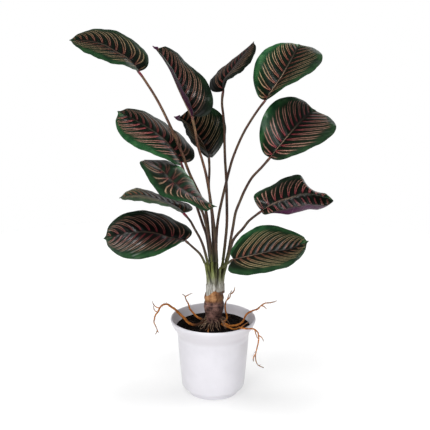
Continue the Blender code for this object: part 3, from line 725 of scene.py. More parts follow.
near = upper.times(upper.rest(upper.rise(out, 0.03, 0.38)), upper.plus(0.2, upper.times(pink, 0.6)))
redness = upper.times(upper.plus(0.5, upper.times(broad, 0.5)), upper.rest(upper.rise(along, 0.6, 0.95)))
redness = upper.times(redness, near)
filled = upper.times(upper.times(filling, reach), upper.plus(0.1, upper.times(pink, 0.5)))
ground = upper.mix(filled, ground, upper.mix(redness, (44, 36, 24), (52, 18, 20)))

tan_line = upper.mix(upper.rise(out, 0.1, 0.7), (146, 102, 72), (180, 168, 122))
pink_line = upper.mix(upper.rise(out, 0.1, 0.7), (156, 84, 82), (174, 132, 116))
red_line = upper.mix(pink, (128, 38, 36), (148, 36, 58))
stripe = upper.mix(redness, upper.mix(pink, tan_line, pink_line), red_line)
strength = upper.plus(0.45, upper.times(upper.rise(patchy, 0.3, 0.62), 0.45))
# bright is partly painted light, for how each half faces the light.
strength = upper.times(upper.times(line, reach), upper.times(strength, bright))
painted = upper.mix(strength, ground, stripe)
rib = upper.rest(upper.rise(out, 0.012, 0.045))
rib_fade = upper.minus(0.6, upper.times(along, 0.6), True)
upper.colour(upper.mix(upper.times(rib, rib_fade), painted, (96, 80, 70)))

upper.give(upper.shader.inputs["Specular IOR Level"], upper.times(gloss, 0.42))
waves = upper.math("COSINE", upper.times(count, math.tau))
waves = upper.times(waves, upper.times(upper.rise(out, 0.0, 0.07), upper.minus(1.7, out)))
upper.bump(upper.plus(waves, upper.times(fine, 0.08)), 0.45, 0.0004)
print(upper.material.name)

# %% [markdown]
# ## The leaf's underside
# Underneath, the leaf is wine purple and duller, with the side veins raised a little. The same
# stripe arithmetic places those veins, so both faces of a leaf agree.

# %% Finish: purple underside
lower = Finish("purple_leaf_underside", roughness=0.5, specular=0.4)
out, _, _, count, *_ = stripe_lines(lower)
spot = lower.place()
cloud = lower.grain(spot, 70.0, 4.0)
fine = lower.grain(spot, 900.0, 3.0)
vein = lower.rise(lower.gap(lower.math("FRACT", count), 0.5), 0.42, 0.50)
purple = lower.mix(lower.rise(cloud, 0.3, 0.7), (50, 12, 42), (72, 20, 60))
purple = lower.mix(lower.times(vein, 0.5), purple, (96, 40, 80))
rim = lower.times(lower.rise(out, 0.9, 1.0), 0.5)
lower.colour(lower.mix(rim, purple, (64, 58, 52)))
lower.roughen(cloud, 0.42, 0.58)
lower.bump(lower.plus(vein, lower.times(fine, 0.4)), 0.5, 0.0005)
print(lower.material.name)

# %% [markdown]
# ## The shapes of the twelve leaves
# Every leaf was measured on its own: the line of its rib from base to tip, a few points of its left
# and right margins, how far each half bulges, and how much its tip curls. The rest of the outline is
# one formula for this species, round at the base and drawn out to a short tip. In the table, bow is
# the bulge of the left and of the right half, lobe is how far the base sweeps back past the stalk,
# and curl is the turn of the tip in degrees, which starts at the place curl_from. The number at point
# says how sharply the tip is drawn in.

# %% The leaves, in millimetres
LEAVES = {
    "top_left": dict(
        rib=((-114, -35, 544), (-130, -38, 564), (-146, -36, 573), (-165, -31, 583), (-190, -24, 588),
             (-220, -8, 587)),
        left=((-121, -72, 556), (-161, -82, 568), (-198, -52, 579)),
        right=((-100, -12, 559), (-130, 7, 589), (-185, 5, 601.6)),
        bow=(3, 3), lobe=6, curl=0),
    "upper_left": dict(
        rib=((-33, -22, 472), (-51, -18, 509), (-69, -10, 547), (-93, 2, 577)),
        left=((-34, -53, 497), (-50, -64, 531), (-73, -38, 562)),
        right=((-9, -22, 478), (-1, -16, 501), (-15, 11, 527), (-38, 21, 544), (-58, 16, 565)),
        bow=(2, 3), lobe=12, curl=170, curl_from=0.92, point=0.75),
    "top_centre": dict(
        rib=((16, 10, 505), (19, 25, 519), (32, 48, 534), (48, 72, 551), (66, 98, 569)),
        left=((-5, 45, 505), (12, 91, 525), (48, 109, 548)),
        right=((21, -13, 524), (41, -1, 535), (65, 49, 554)),
        bow=(3, 4), lobe=6, curl=0),
    "top_right": dict(
        rib=((82, 5, 491), (94, 12, 508), (107, 25, 524), (119, 45, 540), (131, 72, 556), (139, 100, 564)),
        left=((67, 34, 506), (68, 49, 545), (102, 77, 568)),
        right=((106, -20, 514), (149, 0, 534), (174, 67, 552)),
        bow=(3, 3), lobe=6, curl=0),
    "right": dict(
        rib=((89, -30, 408), (106, -25, 428), (122, -8, 443), (142, 22, 457), (164, 55, 465)),
        left=((75, -4, 425), (80, 1, 470), (121, 38, 490)),
        right=((115, -58, 415), (163, -30, 428), (195.3, 23, 445)),
        bow=(3, 3), lobe=6, curl=0),
    "lower_right": dict(
        rib=((76, -50, 327), (96, -56, 342), (116, -62, 351), (141, -70, 360), (163, -80, 360),
             (183, -90, 355)),
        left=((65, -44, 350), (84, -18, 355), (111, -19, 371), (136, -30, 379), (154, -50, 359),
              (171, -72, 362)),
        right=((90, -84, 334.5), (129, -101, 350), (162, -101, 351)),
        bow=(3, -18), lobe=7, curl=0, point=0),
    "bottom_right": dict(
        rib=((33, -40, 244), (58, -50, 253), (89, -62, 264), (119, -74, 272), (147, -85, 289)),
        left=((38, -17, 263), (74, -23, 294), (123, -52, 295)),
        right=((33, -73, 233), (78, -104.9, 244), (128, -104.9, 263)),
        bow=(3, 3), lobe=15, curl=0),
    "centre": dict(
        rib=((-7, 38, 392), (-16, 46, 410), (-29, 64, 426), (-45, 88, 438), (-65, 108.7, 443)),
        left=((-17, 8, 406), (-39, 15, 429), (-49, 61, 441)),
        right=((6, 70, 394), (21, 65, 435), (-12, 98, 463)),
        bow=(3, 3), lobe=8, curl=180, curl_from=0.88, point=0.7),
    "left_upper": dict(
        rib=((-52, 30, 385), (-63, 28, 404), (-80, 29, 424), (-104, 32, 441), (-129, 37, 455),
             (-153, 46, 465)),
        left=((-65, -6, 397), (-104, -13, 413), (-149, 30, 431)),
        right=((-33, 50, 398), (-61, 72, 427), (-113, 65, 461)),
        bow=(3, 3), lobe=20, curl=0),
    "left_middle": dict(
        rib=((-107, -9, 397), (-84, -26, 389), (-58, -42, 368), (-28, -50, 350), (6, -54, 335)),
        left=((-93, 17, 390), (-48, 7, 379), (-21, -19, 345)),
        right=((-107, -50, 395), (-83, -83, 365), (-38, -79, 348), (-20, -70, 336)),
        bow=(3, 3), lobe=16, curl=0),
    "left_lower": dict(
        rib=((-47, -50, 324), (-67, -52, 339), (-90, -55, 349), (-116, -58, 355), (-145, -62, 351)),
        left=((-57, -85, 340), (-88, -103, 354), (-125, -91, 356)),
        right=((-38, -22, 329), (-80, -6, 339), (-121, -27, 357)),
        bow=(3, 3), lobe=12, curl=0),
    "bottom_left": dict(
        rib=((-44, -48, 278), (-67, -56, 285), (-89, -62, 294), (-113, -67, 298), (-144, -72, 295),
             (-169, -76, 290)),
        left=((-61, -88, 283), (-101, -104, 268), (-147, -82, 265)),
        right=((-41, -25, 292), (-86, -19, 314), (-144, -51, 320)),
        bow=(3, 3), lobe=12, curl=0),
}
MARGIN_PLACES = {             # where along the rib a margin's 3, 4, 5 or 6 points lie
    3: (0.12, 0.42, 0.78), 4: (0.12, 0.42, 0.78, 0.88), 5: (0.06, 0.22, 0.42, 0.60, 0.80),
    6: (0.06, 0.22, 0.42, 0.60, 0.80, 0.92),
}
print("leaves:", len(LEAVES))

# %% How the stripes of each leaf look
# The brightness of a half's stripes is partly painted light and shade.
STRIPE_LOOKS = {              # sweep, pinkness, brightness of the left and of the right half
    "top_left": (0.85, 0.35, 0.52, 0.52), "upper_left": (0.85, 0.9, 0.55, 0.55),
    "top_centre": (0.85, 0.8, 0.4, 0.35), "top_right": (0.75, 0.4, 0.85, 0.4),
    "right": (0.75, 1.0, 1.1, 0.85), "lower_right": (0.4, 1.0, 0.85, 0.85),
    "bottom_right": (0.85, 0.2, 1.5, 1.2), "centre": (0.85, 0.3, 0.3, 0.35),
    "left_upper": (0.85, 0.95, 1.5, 0.45), "left_middle": (0.85, 0.7, 0.5, 1.0),
    "left_lower": (0.85, 0.0, 0.9, 1.4), "bottom_left": (0.85, 0.9, 1.0, 0.9),
}
# Tone is painted light and shade: it lightens or darkens each half for how it faces the light and the sheen
# it catches.
GROUNDS_AND_LIGHT = {                   # tone, greenness of the margin and gloss, each for the left and right half
    "top_left": (0.65, 0.6, 0.6, 0.4, 0.5, 0.8), "upper_left": (0.4, 0.35, 0.5, 0.35, 0.7, 0.7),
    "top_centre": (0.25, 0.3, 0.0, 0.1, 0.3, 0.3), "top_right": (1.0, 0.8, 1.0, 0.4, 0.8, 0.5),
    "right": (1.0, 1.0, 1.0, 0.3, 0.6, 0.7), "lower_right": (0.7, 0.7, 0.6, 0.2, 0.9, 0.9),
    "bottom_right": (1.6, 0.9, 0.9, 0.5, 1.0, 0.9), "centre": (0.2, 0.25, 0.1, 0.7, 0.2, 0.3),
    "left_upper": (1.2, 0.9, 1.0, 0.1, 0.9, 0.5), "left_middle": (3.4, 1.2, 0.75, 0.5, 1.8, 0.9),
    "left_lower": (3.0, 4.8, 0.15, 0.05, 1.5, 1.5), "bottom_left": (0.7, 0.5, 1.0, 0.5, 1.2, 0.7),
}
SWAYS = {                     # place along the rib from which stripes fan out, extra forward lean
    "left_middle": (0.42, 0.0), "upper_left": (0.0, 0.22), "centre": (0.0, 0.18), "top_centre": (0.0, 0.25),
    "bottom_right": (0.0, 0.3), "left_lower": (0.0, 0.25),
}
print("stripe looks:", len(STRIPE_LOOKS))

# %% The outline of a leaf
def ease(value, low, high):
    """Goes smoothly from 0 at low to 1 at high, which may be the smaller of the two."""
    share = min(1.0, max(0.0, (value - low) / (high - low)))
    return share * share * (3 - 2 * share)


WIDTH_BASE, WIDTH_TIP = 0.55, 0.80      # the smaller a number, the rounder that end of the leaf
TIP_POINT = 0.65              # how far the last part is drawn in to a drip tip


def leaf_width(share, point=TIP_POINT):
    """Half width as a share of the widest, at a place along the rib, drawn in to a small point."""
    peak = WIDTH_BASE / (WIDTH_BASE + WIDTH_TIP)
    full = (share / peak) ** WIDTH_BASE * ((1 - share) / (1 - peak)) ** WIDTH_TIP
    return full * (1.0 - point * ease(share, 0.93, 0.985))


def margin_line(rib, margin):
    places = MARGIN_PLACES[len(margin)]
    return SmoothLine([(metres(p) - rib.at(s)) / leaf_width(s) for p, s in zip(margin, places)], places)


def leaf_lines(leaf):
    """The rib, and how far the left and the right margin reach from it, as smooth lines."""
    rib = SmoothLine([metres(p) for p in leaf["rib"]])
    return rib, (margin_line(rib, leaf["left"]), margin_line(rib, leaf["right"]))


print("widest place along the rib:", round(WIDTH_BASE / (WIDTH_BASE + WIDTH_TIP), 2))

# %% [markdown]
# A blade isn't flat. Each half bulges between the rib and the margin, its margin waves and crimps,
# the lobes at the base sweep back past the stalk, and some tips roll over. All of this is added to
# the points of one row across the leaf.

# %% One row of a leaf
MARGIN_ENDS = (0.05, 0.93)    # the margins' own lines are read between these places only


def reach_at(side, share):
    """How far a margin is from the rib, and in which direction."""
    first, last = MARGIN_ENDS
    return side.at(min(max(share, first), last))


def leaf_row(leaf, rib, sides, share, columns):
    """The points of one row, from the left margin to the right one."""
    heading = rib.heading(share)
    rolled = leaf.get("curl_from", 0.89)
    turn = math.radians(leaf["curl"]) * max(0.0, (share - rolled) / (1 - rolled)) ** 1.5
    full = leaf_width(share, leaf.get("point", TIP_POINT))
    row = []
    for column in range(columns + 1):
        across = 2 * column / columns - 1
        v = abs(across)
        half = 0 if across < 0 else 1
        reach = Matrix.Rotation(turn, 3, heading) @ reach_at(sides[half], share)
        up = (heading.cross(reach) if half == 0 else reach.cross(heading)).normalized()
        width = max(full, (0.0018 * (1 - share) + 0.0009 * share) / reach.length)
        fade = min(1.0, width * 1.4)
        bow = leaf["bow"][half] * (ease(share, 0.02, 0.3) if leaf["bow"][half] < 0 else 1.0)
        bulge = bow * MM * 4 * v * (1 - v) * fade
        wave = math.sin(math.tau * 5.0 * share + (2.7 if half else 1.1))
        crimp = 0.0002 * math.sin(math.tau * 13.0 * share + (0.9 if half else 2.2)) * v ** 6
        ripple = (0.0007 * wave * v ** 3 + crimp) * fade
        sweep = heading * leaf["lobe"] * MM * v * width * math.exp(-share / 0.12)
        row.append(rib.at(share) + reach * (v * width) + up * (bulge + ripple) - sweep)
    return row


print("row helper ready")

# %% [markdown]
# ## Making a leaf from a flat grid
# A flat grid of small squares is the cloth that a leaf is cut from. Each row is carried to its place
# along the rib and each column to its place between rib and margin. Rows crowd together near the
# base and the tip, where the outline turns fastest. Solidify then gives the sheet its thickness, and
# its material offset turns the lower face purple while the upper one stays green.

# %% Make the leaves
LEAF_ROWS, LEAF_COLUMNS = 72, 36
LEAF_THICKNESS = 0.00055


def make_leaf(name):
    leaf = LEAVES[name]
    rib, sides = leaf_lines(leaf)
    bpy.ops.object.select_all(action="DESELECT")
    bpy.ops.mesh.primitive_grid_add(x_subdivisions=LEAF_COLUMNS, y_subdivisions=LEAF_ROWS, size=1)
    blade = bpy.context.object
    mesh = blade.data
    shares = [0.5 - 0.5 * math.cos(math.pi * i / LEAF_ROWS) for i in range(LEAF_ROWS + 1)]
    for i, share in enumerate(shares):
        for j, point in enumerate(leaf_row(leaf, rib, sides, share, LEAF_COLUMNS)):
            mesh.vertices[i * (LEAF_COLUMNS + 1) + j].co = point
    for loop in mesh.loops:
        i, j = divmod(loop.vertex_index, LEAF_COLUMNS + 1)
        mesh.uv_layers[0].data[loop.index].uv = (j / LEAF_COLUMNS, shares[i])
    sweep, pink, *bright = STRIPE_LOOKS[name]
    tone, green, gloss = GROUNDS_AND_LIGHT[name][:2], GROUNDS_AND_LIGHT[name][2:4], GROUNDS_AND_LIGHT[name][4:]
    halves = [int(place % (LEAF_COLUMNS + 1) >= LEAF_COLUMNS / 2) for place in range(len(mesh.vertices))]
    carry(blade, "stripes", [(sweep, pink, bright[half]) for half in halves])
    carry(blade, "ground", [(tone[half], green[half], gloss[half]) for half in halves])
    carry(blade, "sway", [(*SWAYS.get(name, (0.0, 0.0)), 0.0)] * len(halves))
    mesh.materials.append(upper.material)
    mesh.materials.append(lower.material)
    mesh.update()
    middle = mesh.polygons[LEAF_COLUMNS * (LEAF_ROWS // 2) + LEAF_COLUMNS // 2]
    left, right = sides[0].at(0.5), sides[1].at(0.5)
    if middle.normal.dot(rib.heading(0.5).cross(left - right)) < 0:
        mesh.flip_normals()
    apply_modifier(blade, "SOLIDIFY", thickness=LEAF_THICKNESS, offset=0.0, material_offset=1,
                   use_even_offset=False)
    smooth_by_angle(blade, 50)
    return blade


for name in LEAVES:
    blade = make_leaf(name)
    settle(blade, "leaf_" + name, None, "blade_" + name)
print("leaf faces:", len(blade.data.polygons))

# %% [markdown]
# ## The ribs
# The stalk goes on through the blade as a rib. It stands out underneath and shows on top as a thin
# tan line, so it is a fine tapering stem set mostly below the blade's surface. The attribute "far"
# says how near the tip a point is, where the rib turns dark, and how light the rib of that leaf is.

# %% Finish: tan rib
rib_skin = Finish("tan_rib", roughness=0.4)
spot = rib_skin.place()
mottle = rib_skin.grain(spot, 60.0, 3.0)
streaks = rib_skin.grain(spot, 800.0, 2.0)
far, tone, _ = rib_skin.numbers("far")
tan = rib_skin.mix(rib_skin.rise(mottle, 0.35, 0.65), (96, 78, 68), (166, 138, 110))
tan = rib_skin.mix(rib_skin.times(streaks, 0.3), tan, (84, 46, 44))
tan = rib_skin.dim(tan, tone)
rib_skin.colour(rib_skin.mix(rib_skin.rise(far, 0.2, 0.7), tan, (34, 40, 28)))
rib_skin.roughen(mottle, 0.34, 0.48)
rib_skin.bump(streaks, 0.3, 0.0003)
print(rib_skin.material.name)

# %% Make the ribs
RIB_TONES = {"bottom_right": 1.5, "top_right": 1.4, "right": 1.2}
RIB_RINGS = 48

for name, leaf in LEAVES.items():
    rib, sides = leaf_lines(leaf)
    points, radii = [], []
    for i in range(RIB_RINGS):
        share = 0.004 + 0.956 * i / (RIB_RINGS - 1)
        over = reach_at(sides[0], share) - reach_at(sides[1], share)
        up = rib.heading(share).cross(over).normalized()
        radius = 0.00105 * (1 - share) ** 0.8 + 0.00022
        shows = 0.00062 * (1 - share) + 0.00018 * share
        points.append(rib.at(share) - up * (radius - shows))
        radii.append(radius)
    midrib = stem("rib", points, radii)
    carry(midrib, "far", [(nearest_ring(points, vertex) / (RIB_RINGS - 1), RIB_TONES.get(name, 0.8), 0.0)
                          for vertex in midrib.data.vertices])
    settle(midrib, "rib_" + name, rib_skin.material)
print("ribs made:", len(LEAVES))

# %% [markdown]
# ## The corm
# The corm is the plant's swollen stem base: tan where old sheaths have fallen away at the top, dark
# purple brown and corky below, with a seam between. The tan is split by an old scar. Both skins are
# painted darker to the right, as shade on the side away from the light, and the skin turns nearly
# black at the foot, just above the soil. The corm is raised like the pot, from a disc, and then its
# skin is roughened with rings and lumps.

# %% Finish: corky skin
cork = Finish("corky_skin", roughness=0.7, specular=0.35)
spot = cork.place()
across, _, height = cork.split(spot)
lumps = cork.grain(spot, 130.0, 5.0, 0.65)
rings = cork.grain(cork.stretch(spot, (0.35, 0.35, 3.2)), 170.0, 4.0)
wander = cork.plus(height, cork.times(cork.minus(lumps, 0.5), 0.008))
mottle = cork.plus(cork.times(rings, 0.3), cork.times(lumps, 0.7))
scar = cork.gap(across, cork.times(lumps, 0.012))
tan = cork.mix(cork.rise(lumps, 0.35, 0.68), (128, 78, 42), (196, 146, 100))
# Painted shade: the tan darkens to the right, away from the light.
tan = cork.mix(cork.times(cork.rise(across, 0.001, 0.010), 0.7), tan, (84, 54, 36))
tan = cork.mix(cork.minus(0.8, cork.rise(scar, 0.0002, 0.0012)), tan, (70, 40, 22))
dark = cork.mix(cork.rise(mottle, 0.38, 0.62), (50, 32, 32), (158, 118, 106))
# Painted shade: the dark skin darkens to the right too.
dark = cork.mix(cork.times(cork.rise(across, 0.002, 0.014), 0.6), dark, (34, 22, 22))
# Nearly black towards the foot, just above the soil.
dark = cork.mix(cork.times(cork.rise(wander, 0.129, 0.121), 0.85), dark, (18, 12, 9))
cork.colour(cork.mix(cork.rise(wander, 0.157, 0.164), dark, tan))
cork.roughen(lumps, 0.6, 0.82)
cork.bump(mottle, 0.9, 0.0014)
print(cork.material.name)

# %% Raise the corm
CORM_CENTRE = Vector((0.001, 0.0, 0.0))
corm_profile = ((9.0, 108.6), (11.8, 112.0), (12.0, 115.0), (12.0, 118.0), (12.0, 122.0), (12.1, 126.0),
                (12.6, 131.0), (13.4, 136.0), (14.8, 141.0), (15.9, 146.0), (16.3, 150.0), (16.4, 154.0),
                (16.0, 157.5), (15.1, 160.0), (15.0, 161.2), (15.5, 162.8), (15.7, 165.0), (15.5, 168.0),
                (14.8, 171.0), (13.6, 174.2), (11.8, 177.0), (9.6, 179.4), (7.0, 181.0), (3.0, 181.8))
corm = raise_disc(corm_profile, 72)
apply_modifier(corm, "SUBSURF", levels=1, render_levels=1)
for vertex in corm.data.vertices:
    place = vertex.co
    angle = math.atan2(place.y, place.x)
    lobes = 1.0 + 0.04 * math.cos(3 * angle + 0.8)
    skin = 0.0007 * noise.noise(place * 200) + 0.0004 * noise.noise(place * 520)
    out = Vector((place.x, place.y, 0))
    reach = out.length
    if reach > 0.004:
        out = out.normalized() * (reach * lobes + skin)
    vertex.co = Vector((out.x, out.y, place.z)) + CORM_CENTRE
smooth_by_angle(corm, 70)
settle(corm, "swollen_corm", cork.material, "corm")
print("corm faces:", len(corm.data.polygons))

# %% [markdown]
# A fringe of pale young roots arches out of the corm's foot into the soil. They are short stems of
# the same kind as the stalks, each from the corm over a knee to the ground.

# %% Finish and make the fringe of rootlets
ROOTLETS = 34

rootlet_skin = Finish("pale_rootlet", roughness=0.65, specular=0.35)
mottle = rootlet_skin.grain(rootlet_skin.place(), 260.0, 4.0)
rootlet_skin.colour(rootlet_skin.mix(rootlet_skin.rise(mottle, 0.35, 0.7), (100, 74, 58), (184, 156, 130)))
rootlet_skin.bump(mottle, 0.6, 0.0005)


def fine_stem(name, line, radius, rings, thinning):
    """A thin stem of a few rings, which loses the same share of its radius at each."""
    points = [line.at(i / (rings - 1)) for i in range(rings)]
    return stem(name, points, [radius * (1 - thinning * i) for i in range(rings)], sides=8)


chance = random.Random(5)
fringe = []
for number in range(ROOTLETS):
    angle = math.tau * number / ROOTLETS + chance.uniform(-0.12, 0.12)
    out = Vector((math.cos(angle), math.sin(angle), 0))
    side = Vector((-out.y, out.x, 0)) * chance.uniform(-0.004, 0.004)
    start = CORM_CENTRE + out * 0.0112 + Vector((0, 0, chance.uniform(0.1215, 0.131)))
    knee = CORM_CENTRE + out * chance.uniform(0.0145, 0.0175) + side + Vector((0, 0, start.z - 0.0005))
    foot = CORM_CENTRE + out * chance.uniform(0.019, 0.0285) + side * 2.5
    foot.z = soil_height(foot.x, foot.y) - 0.0004
    line = SmoothLine([start, knee, (knee + foot) / 2 + out * 0.0014 - side * 1.1, foot])
    fringe.append(fine_stem("rootlet", line, chance.uniform(0.0003, 0.0007), rings=10, thinning=0.05))
fringe = join(fringe)
settle(fringe, "rootlet_fringe", rootlet_skin.material)
print("rootlets:", ROOTLETS)

# %% [markdown]
# ## The crown of leaf sheaths
# Low down each stalk widens into a sheath that clasps its neighbours. The sheaths are whitish at the
# corm, turn pale green, and reach the olive of the stalks above. Each has a fleshy core, which is a
# tapering stem, and a thin wrap around its outer side, which is a narrow grid bent round that stem.
# The attribute "sheath" holds how pale a point is, which is partly painted light, up to which height
# the brown foot is bare, and how much painted shade it takes in a crease or in a painted shadow line
# between two neighbours. The bare foot is painted darker to the right, as shade.

# %% Finish: pale sheath
WHITE_TO_GREEN, GREEN_TO_OLIVE = (0.187, 0.205), (0.203, 0.219)      # heights

sheath_skin = Finish("pale_sheath", roughness=0.45, specular=0.4)
spot = sheath_skin.place()
across, _, height = sheath_skin.split(spot)
pale, bare, sheath_shade = sheath_skin.numbers("sheath")
streaks = sheath_skin.grain(sheath_skin.stretch(spot, (1.0, 1.0, 0.05)), 1000.0, 4.0)
cloud = sheath_skin.grain(spot, 90.0, 3.0)
wander = sheath_skin.plus(height, sheath_skin.times(sheath_skin.minus(cloud, 0.5), 0.02))
tone = sheath_skin.times(sheath_skin.rise(streaks, 0.3, 0.7), pale)
white = sheath_skin.mix(tone, (118, 112, 98), (222, 221, 214))
green = sheath_skin.mix(tone, (66, 64, 30), (172, 182, 124))
olive = sheath_skin.mix(tone, (38, 32, 12), (134, 146, 66))
skin = sheath_skin.mix(sheath_skin.rise(wander, *WHITE_TO_GREEN), white, green)
skin = sheath_skin.mix(sheath_skin.rise(wander, *GREEN_TO_OLIVE), skin, olive)
# Painted shade: the colour of creases and of the shadow lines, darker higher up.
shadow = sheath_skin.mix(sheath_skin.rise(height, 0.176, 0.192), (74, 54, 34), (26, 21, 9))
skin = sheath_skin.mix(sheath_skin.times(sheath_shade, 0.92), skin, shadow)
# The bare brown foot is painted darker to the right, as shade.
foot = sheath_skin.mix(sheath_skin.rise(across, 0.002, 0.012), (156, 102, 58), (86, 54, 38))
over = sheath_skin.minus(sheath_skin.plus(height, sheath_skin.times(cloud, 0.004)), bare)
sheath_skin.colour(sheath_skin.mix(sheath_skin.rise(over, 0.003, 0.0), skin, foot))
sheath_skin.roughen(cloud, 0.4, 0.55)
sheath_skin.bump(streaks, 0.4, 0.0005)
print(sheath_skin.material.name)

# %% How a sheath runs
SHEATH_CENTRE = Vector((0.003, 0.0, 0.0))
SHEATH_FOOT_Z = 0.1715
SHEATH_FOOT_TILT = 0.25       # the sheaths reach lower down the corm on the left
SHEATH_GATHER = 0.52          # how far the sheaths draw together at their foot
SHEATH_WAIST = 0.60           # and halfway up
SHEATH_WAIST_Z = 0.198
SHEATH_COLLAR = 0.006         # the top of a sheath runs straight into its stalk over this length
SHEATH_SHARES = (0.0, 0.18, 0.36, 0.54, 0.72, 0.89, 1.0)
SHEATH_RADII = (0.0056, 0.0054, 0.0044, 0.0035, 0.0028, 0.0023, 0.0019)


def sheath_line(name):
    """From the corm's shoulder up to the foot of the stalk, which sets the lean of its end."""
    top = metres(STALKS[name][0])
    lean = (metres(STALKS[name][1]) - top).normalized()
    foot = SHEATH_CENTRE + (top - SHEATH_CENTRE) * SHEATH_GATHER
    foot.z = SHEATH_FOOT_Z + SHEATH_FOOT_TILT * foot.x
    waist = SHEATH_CENTRE + (top - SHEATH_CENTRE) * SHEATH_WAIST
    waist.z = SHEATH_WAIST_Z
    return SmoothLine([foot, waist, top - lean * SHEATH_COLLAR, top])


def sheath_radius(share):
    rings = list(zip(SHEATH_SHARES, SHEATH_RADII))
    for (a, thick), (b, thin) in zip(rings, rings[1:]):
        if a <= share <= b:
            return thick + (thin - thick) * (share - a) / (b - a)
    return SHEATH_RADII[-1]


print("sheath rings:", len(SHEATH_RADII))

# %% The wrap of a sheath
def make_wrap(line, height_share, spread):
    """A thin skin round the outer side of a sheath, ending in a point."""
    columns, rows = 14, 26
    bpy.ops.object.select_all(action="DESELECT")
    bpy.ops.mesh.primitive_grid_add(x_subdivisions=columns, y_subdivisions=rows, size=1)
    wrap = bpy.context.object
    for i in range(rows + 1):
        share = height_share * i / rows
        middle, heading = line.at(share), line.heading(share)
        out = Vector((middle.x - SHEATH_CENTRE.x, middle.y - SHEATH_CENTRE.y, 0))
        out = (out - heading * out.dot(heading)).normalized()
        side = heading.cross(out)
        narrow = (1 - (i / rows) ** 3) ** 0.6
        for j in range(columns + 1):
            angle = spread * narrow * (2 * j / columns - 1)
            lift = 0.0003 + 0.0004 * (abs(2 * j / columns - 1) ** 3) * (i / rows)
            reach = sheath_radius(share) + lift
            wrap.data.vertices[i * (columns + 1) + j].co = (
                middle + (out * math.cos(angle) + side * math.sin(angle)) * reach)
    apply_modifier(wrap, "SOLIDIFY", thickness=0.0004, offset=0.0)
    face_outwards(wrap)
    return wrap


print("wrap helper ready")

# %% [markdown]
# The finish has to know where to paint shade. A point of a sheath takes painted shade in a crease,
# where its face turns away from the crown's middle line, and two slanting lines of painted shadow at
# the front lie between neighbours.

# %% What the sheaths' points carry
# Painted shadow lines between sheaths at the front, where the geometry has no gap.
SHADOW_LINES = (                      # dark gaps between sheaths: x at the foot and at the top, and two heights
    (-0.0022, -0.0085, 0.190, 0.216),
    (0.0072, 0.0080, 0.186, 0.226),
)


def tint(piece, pale, bare, dark=0.0):
    """Tells the finish how pale a sheath is, where its skin starts, and how much painted shade a point takes
    in a crease or in a painted shadow line.
    """
    looks = []
    for vertex in piece.data.vertices:
        out = Vector((vertex.co.x - SHEATH_CENTRE.x, vertex.co.y, 0)).normalized()
        # Painted shade in a crease, where a face turns away from the crown's middle line.
        sheath_shade = 1.0 - ease(vertex.normal.dot(out), 0.05, 0.75)
        sheath_shade *= 1.0 - ease(vertex.co.z, 0.212, 0.224)
        # Painted shadow along the lines between neighbours at the front.
        for foot, top, low, high in SHADOW_LINES:
            share = (vertex.co.z - low) / (high - low)
            off = abs(vertex.co.x - foot - (top - foot) * share) / 0.0018
            if vertex.co.y < 0 and -0.15 < share < 1.15:
                ends = ease(share, -0.15, 0.25) * ease(share, 1.15, 0.9)
                sheath_shade = max(sheath_shade, (1.0 - ease(off, 0.4, 1.3)) * ends)
        looks.append((pale, bare, max(sheath_shade, dark)))
    carry(piece, "sheath", looks)


print("dark gaps:", len(SHADOW_LINES))

# %% Make the sheaths
BARE_HEIGHT, LOW_BARE_HEIGHT = 0.1795, 0.170      # the lower one for the two sheaths on the left
parts = []
chance = random.Random(9)
for name in STALKS:
    line = sheath_line(name)
    shares = [i / 23 for i in range(24)]
    bare = LOW_BARE_HEIGHT if name in ("bottom_left", "left_lower") else BARE_HEIGHT
    for piece in (stem("sheath", [line.at(s) for s in shares], [sheath_radius(s) for s in shares], 20),
                  make_wrap(line, chance.uniform(0.30, 0.46), chance.uniform(1.0, 1.4))):
        tint(piece, PALE[name], bare)
        parts.append(piece)
# The cone in the middle, between the sheaths' feet, is painted all in shade.
core = raise_disc(((8.0, 170.0), (11.5, 176.0), (10.0, 187.0), (5.5, 195.0), (2.0, 197.6)), 24)
core.location = SHEATH_CENTRE
tint(core, pale=0.2, bare=BARE_HEIGHT, dark=1.0)
parts.append(core)
crown = join(parts)
smooth_by_angle(crown, 50)
settle(crown, "sheath_crown", sheath_skin.material, "crown_sheaths")
print("crown faces:", len(crown.data.polygons))

# %% [markdown]
# ## The surface roots
# Six woody roots leave the corm's foot. They wander over the soil, climb the pot's wall or hang
# over its rim, and fork into fine twigs. They are orange brown and knobbly and greyer at the tips,
# and painted dark with shade around one place to the left of the corm's foot.
# The thickness of each stem is varied with noise, which gives the knobs.

# %% Finish: orange root bark
# Painted shade: the roots are darkened around this place, in the shade at the corm's foot.
SHADED_PLACE = (-0.012, -0.002, 0.122)      # left of the corm's foot
root_skin = Finish("orange_root_bark", roughness=0.72, specular=0.35)
spot = root_skin.place()
streaks = root_skin.grain(spot, 330.0, 5.0, 0.65)
patches = root_skin.grain(spot, 75.0, 3.0)
worn = root_skin.number("twig")
orange = root_skin.mix(root_skin.rise(streaks, 0.32, 0.7), (146, 78, 26), (232, 150, 68))
orange = root_skin.mix(root_skin.times(root_skin.rise(patches, 0.5, 0.72), 0.65), orange, (118, 66, 36))
grey = root_skin.mix(root_skin.rise(streaks, 0.35, 0.7), (104, 76, 56), (168, 134, 100))
clean = root_skin.mix(worn, orange, grey)
from_shaded_place = root_skin.node("ShaderNodeVectorMath", spot, SHADED_PLACE, out=1, operation="DISTANCE")
# Painted shade near the corm's foot.
root_skin.colour(root_skin.mix(root_skin.rise(from_shaded_place, 0.030, 0.016), clean, (72, 42, 24)))
root_skin.roughen(streaks, 0.6, 0.85)
root_skin.bump(root_skin.plus(streaks, patches), 0.8, 0.0007)
print(root_skin.material.name)

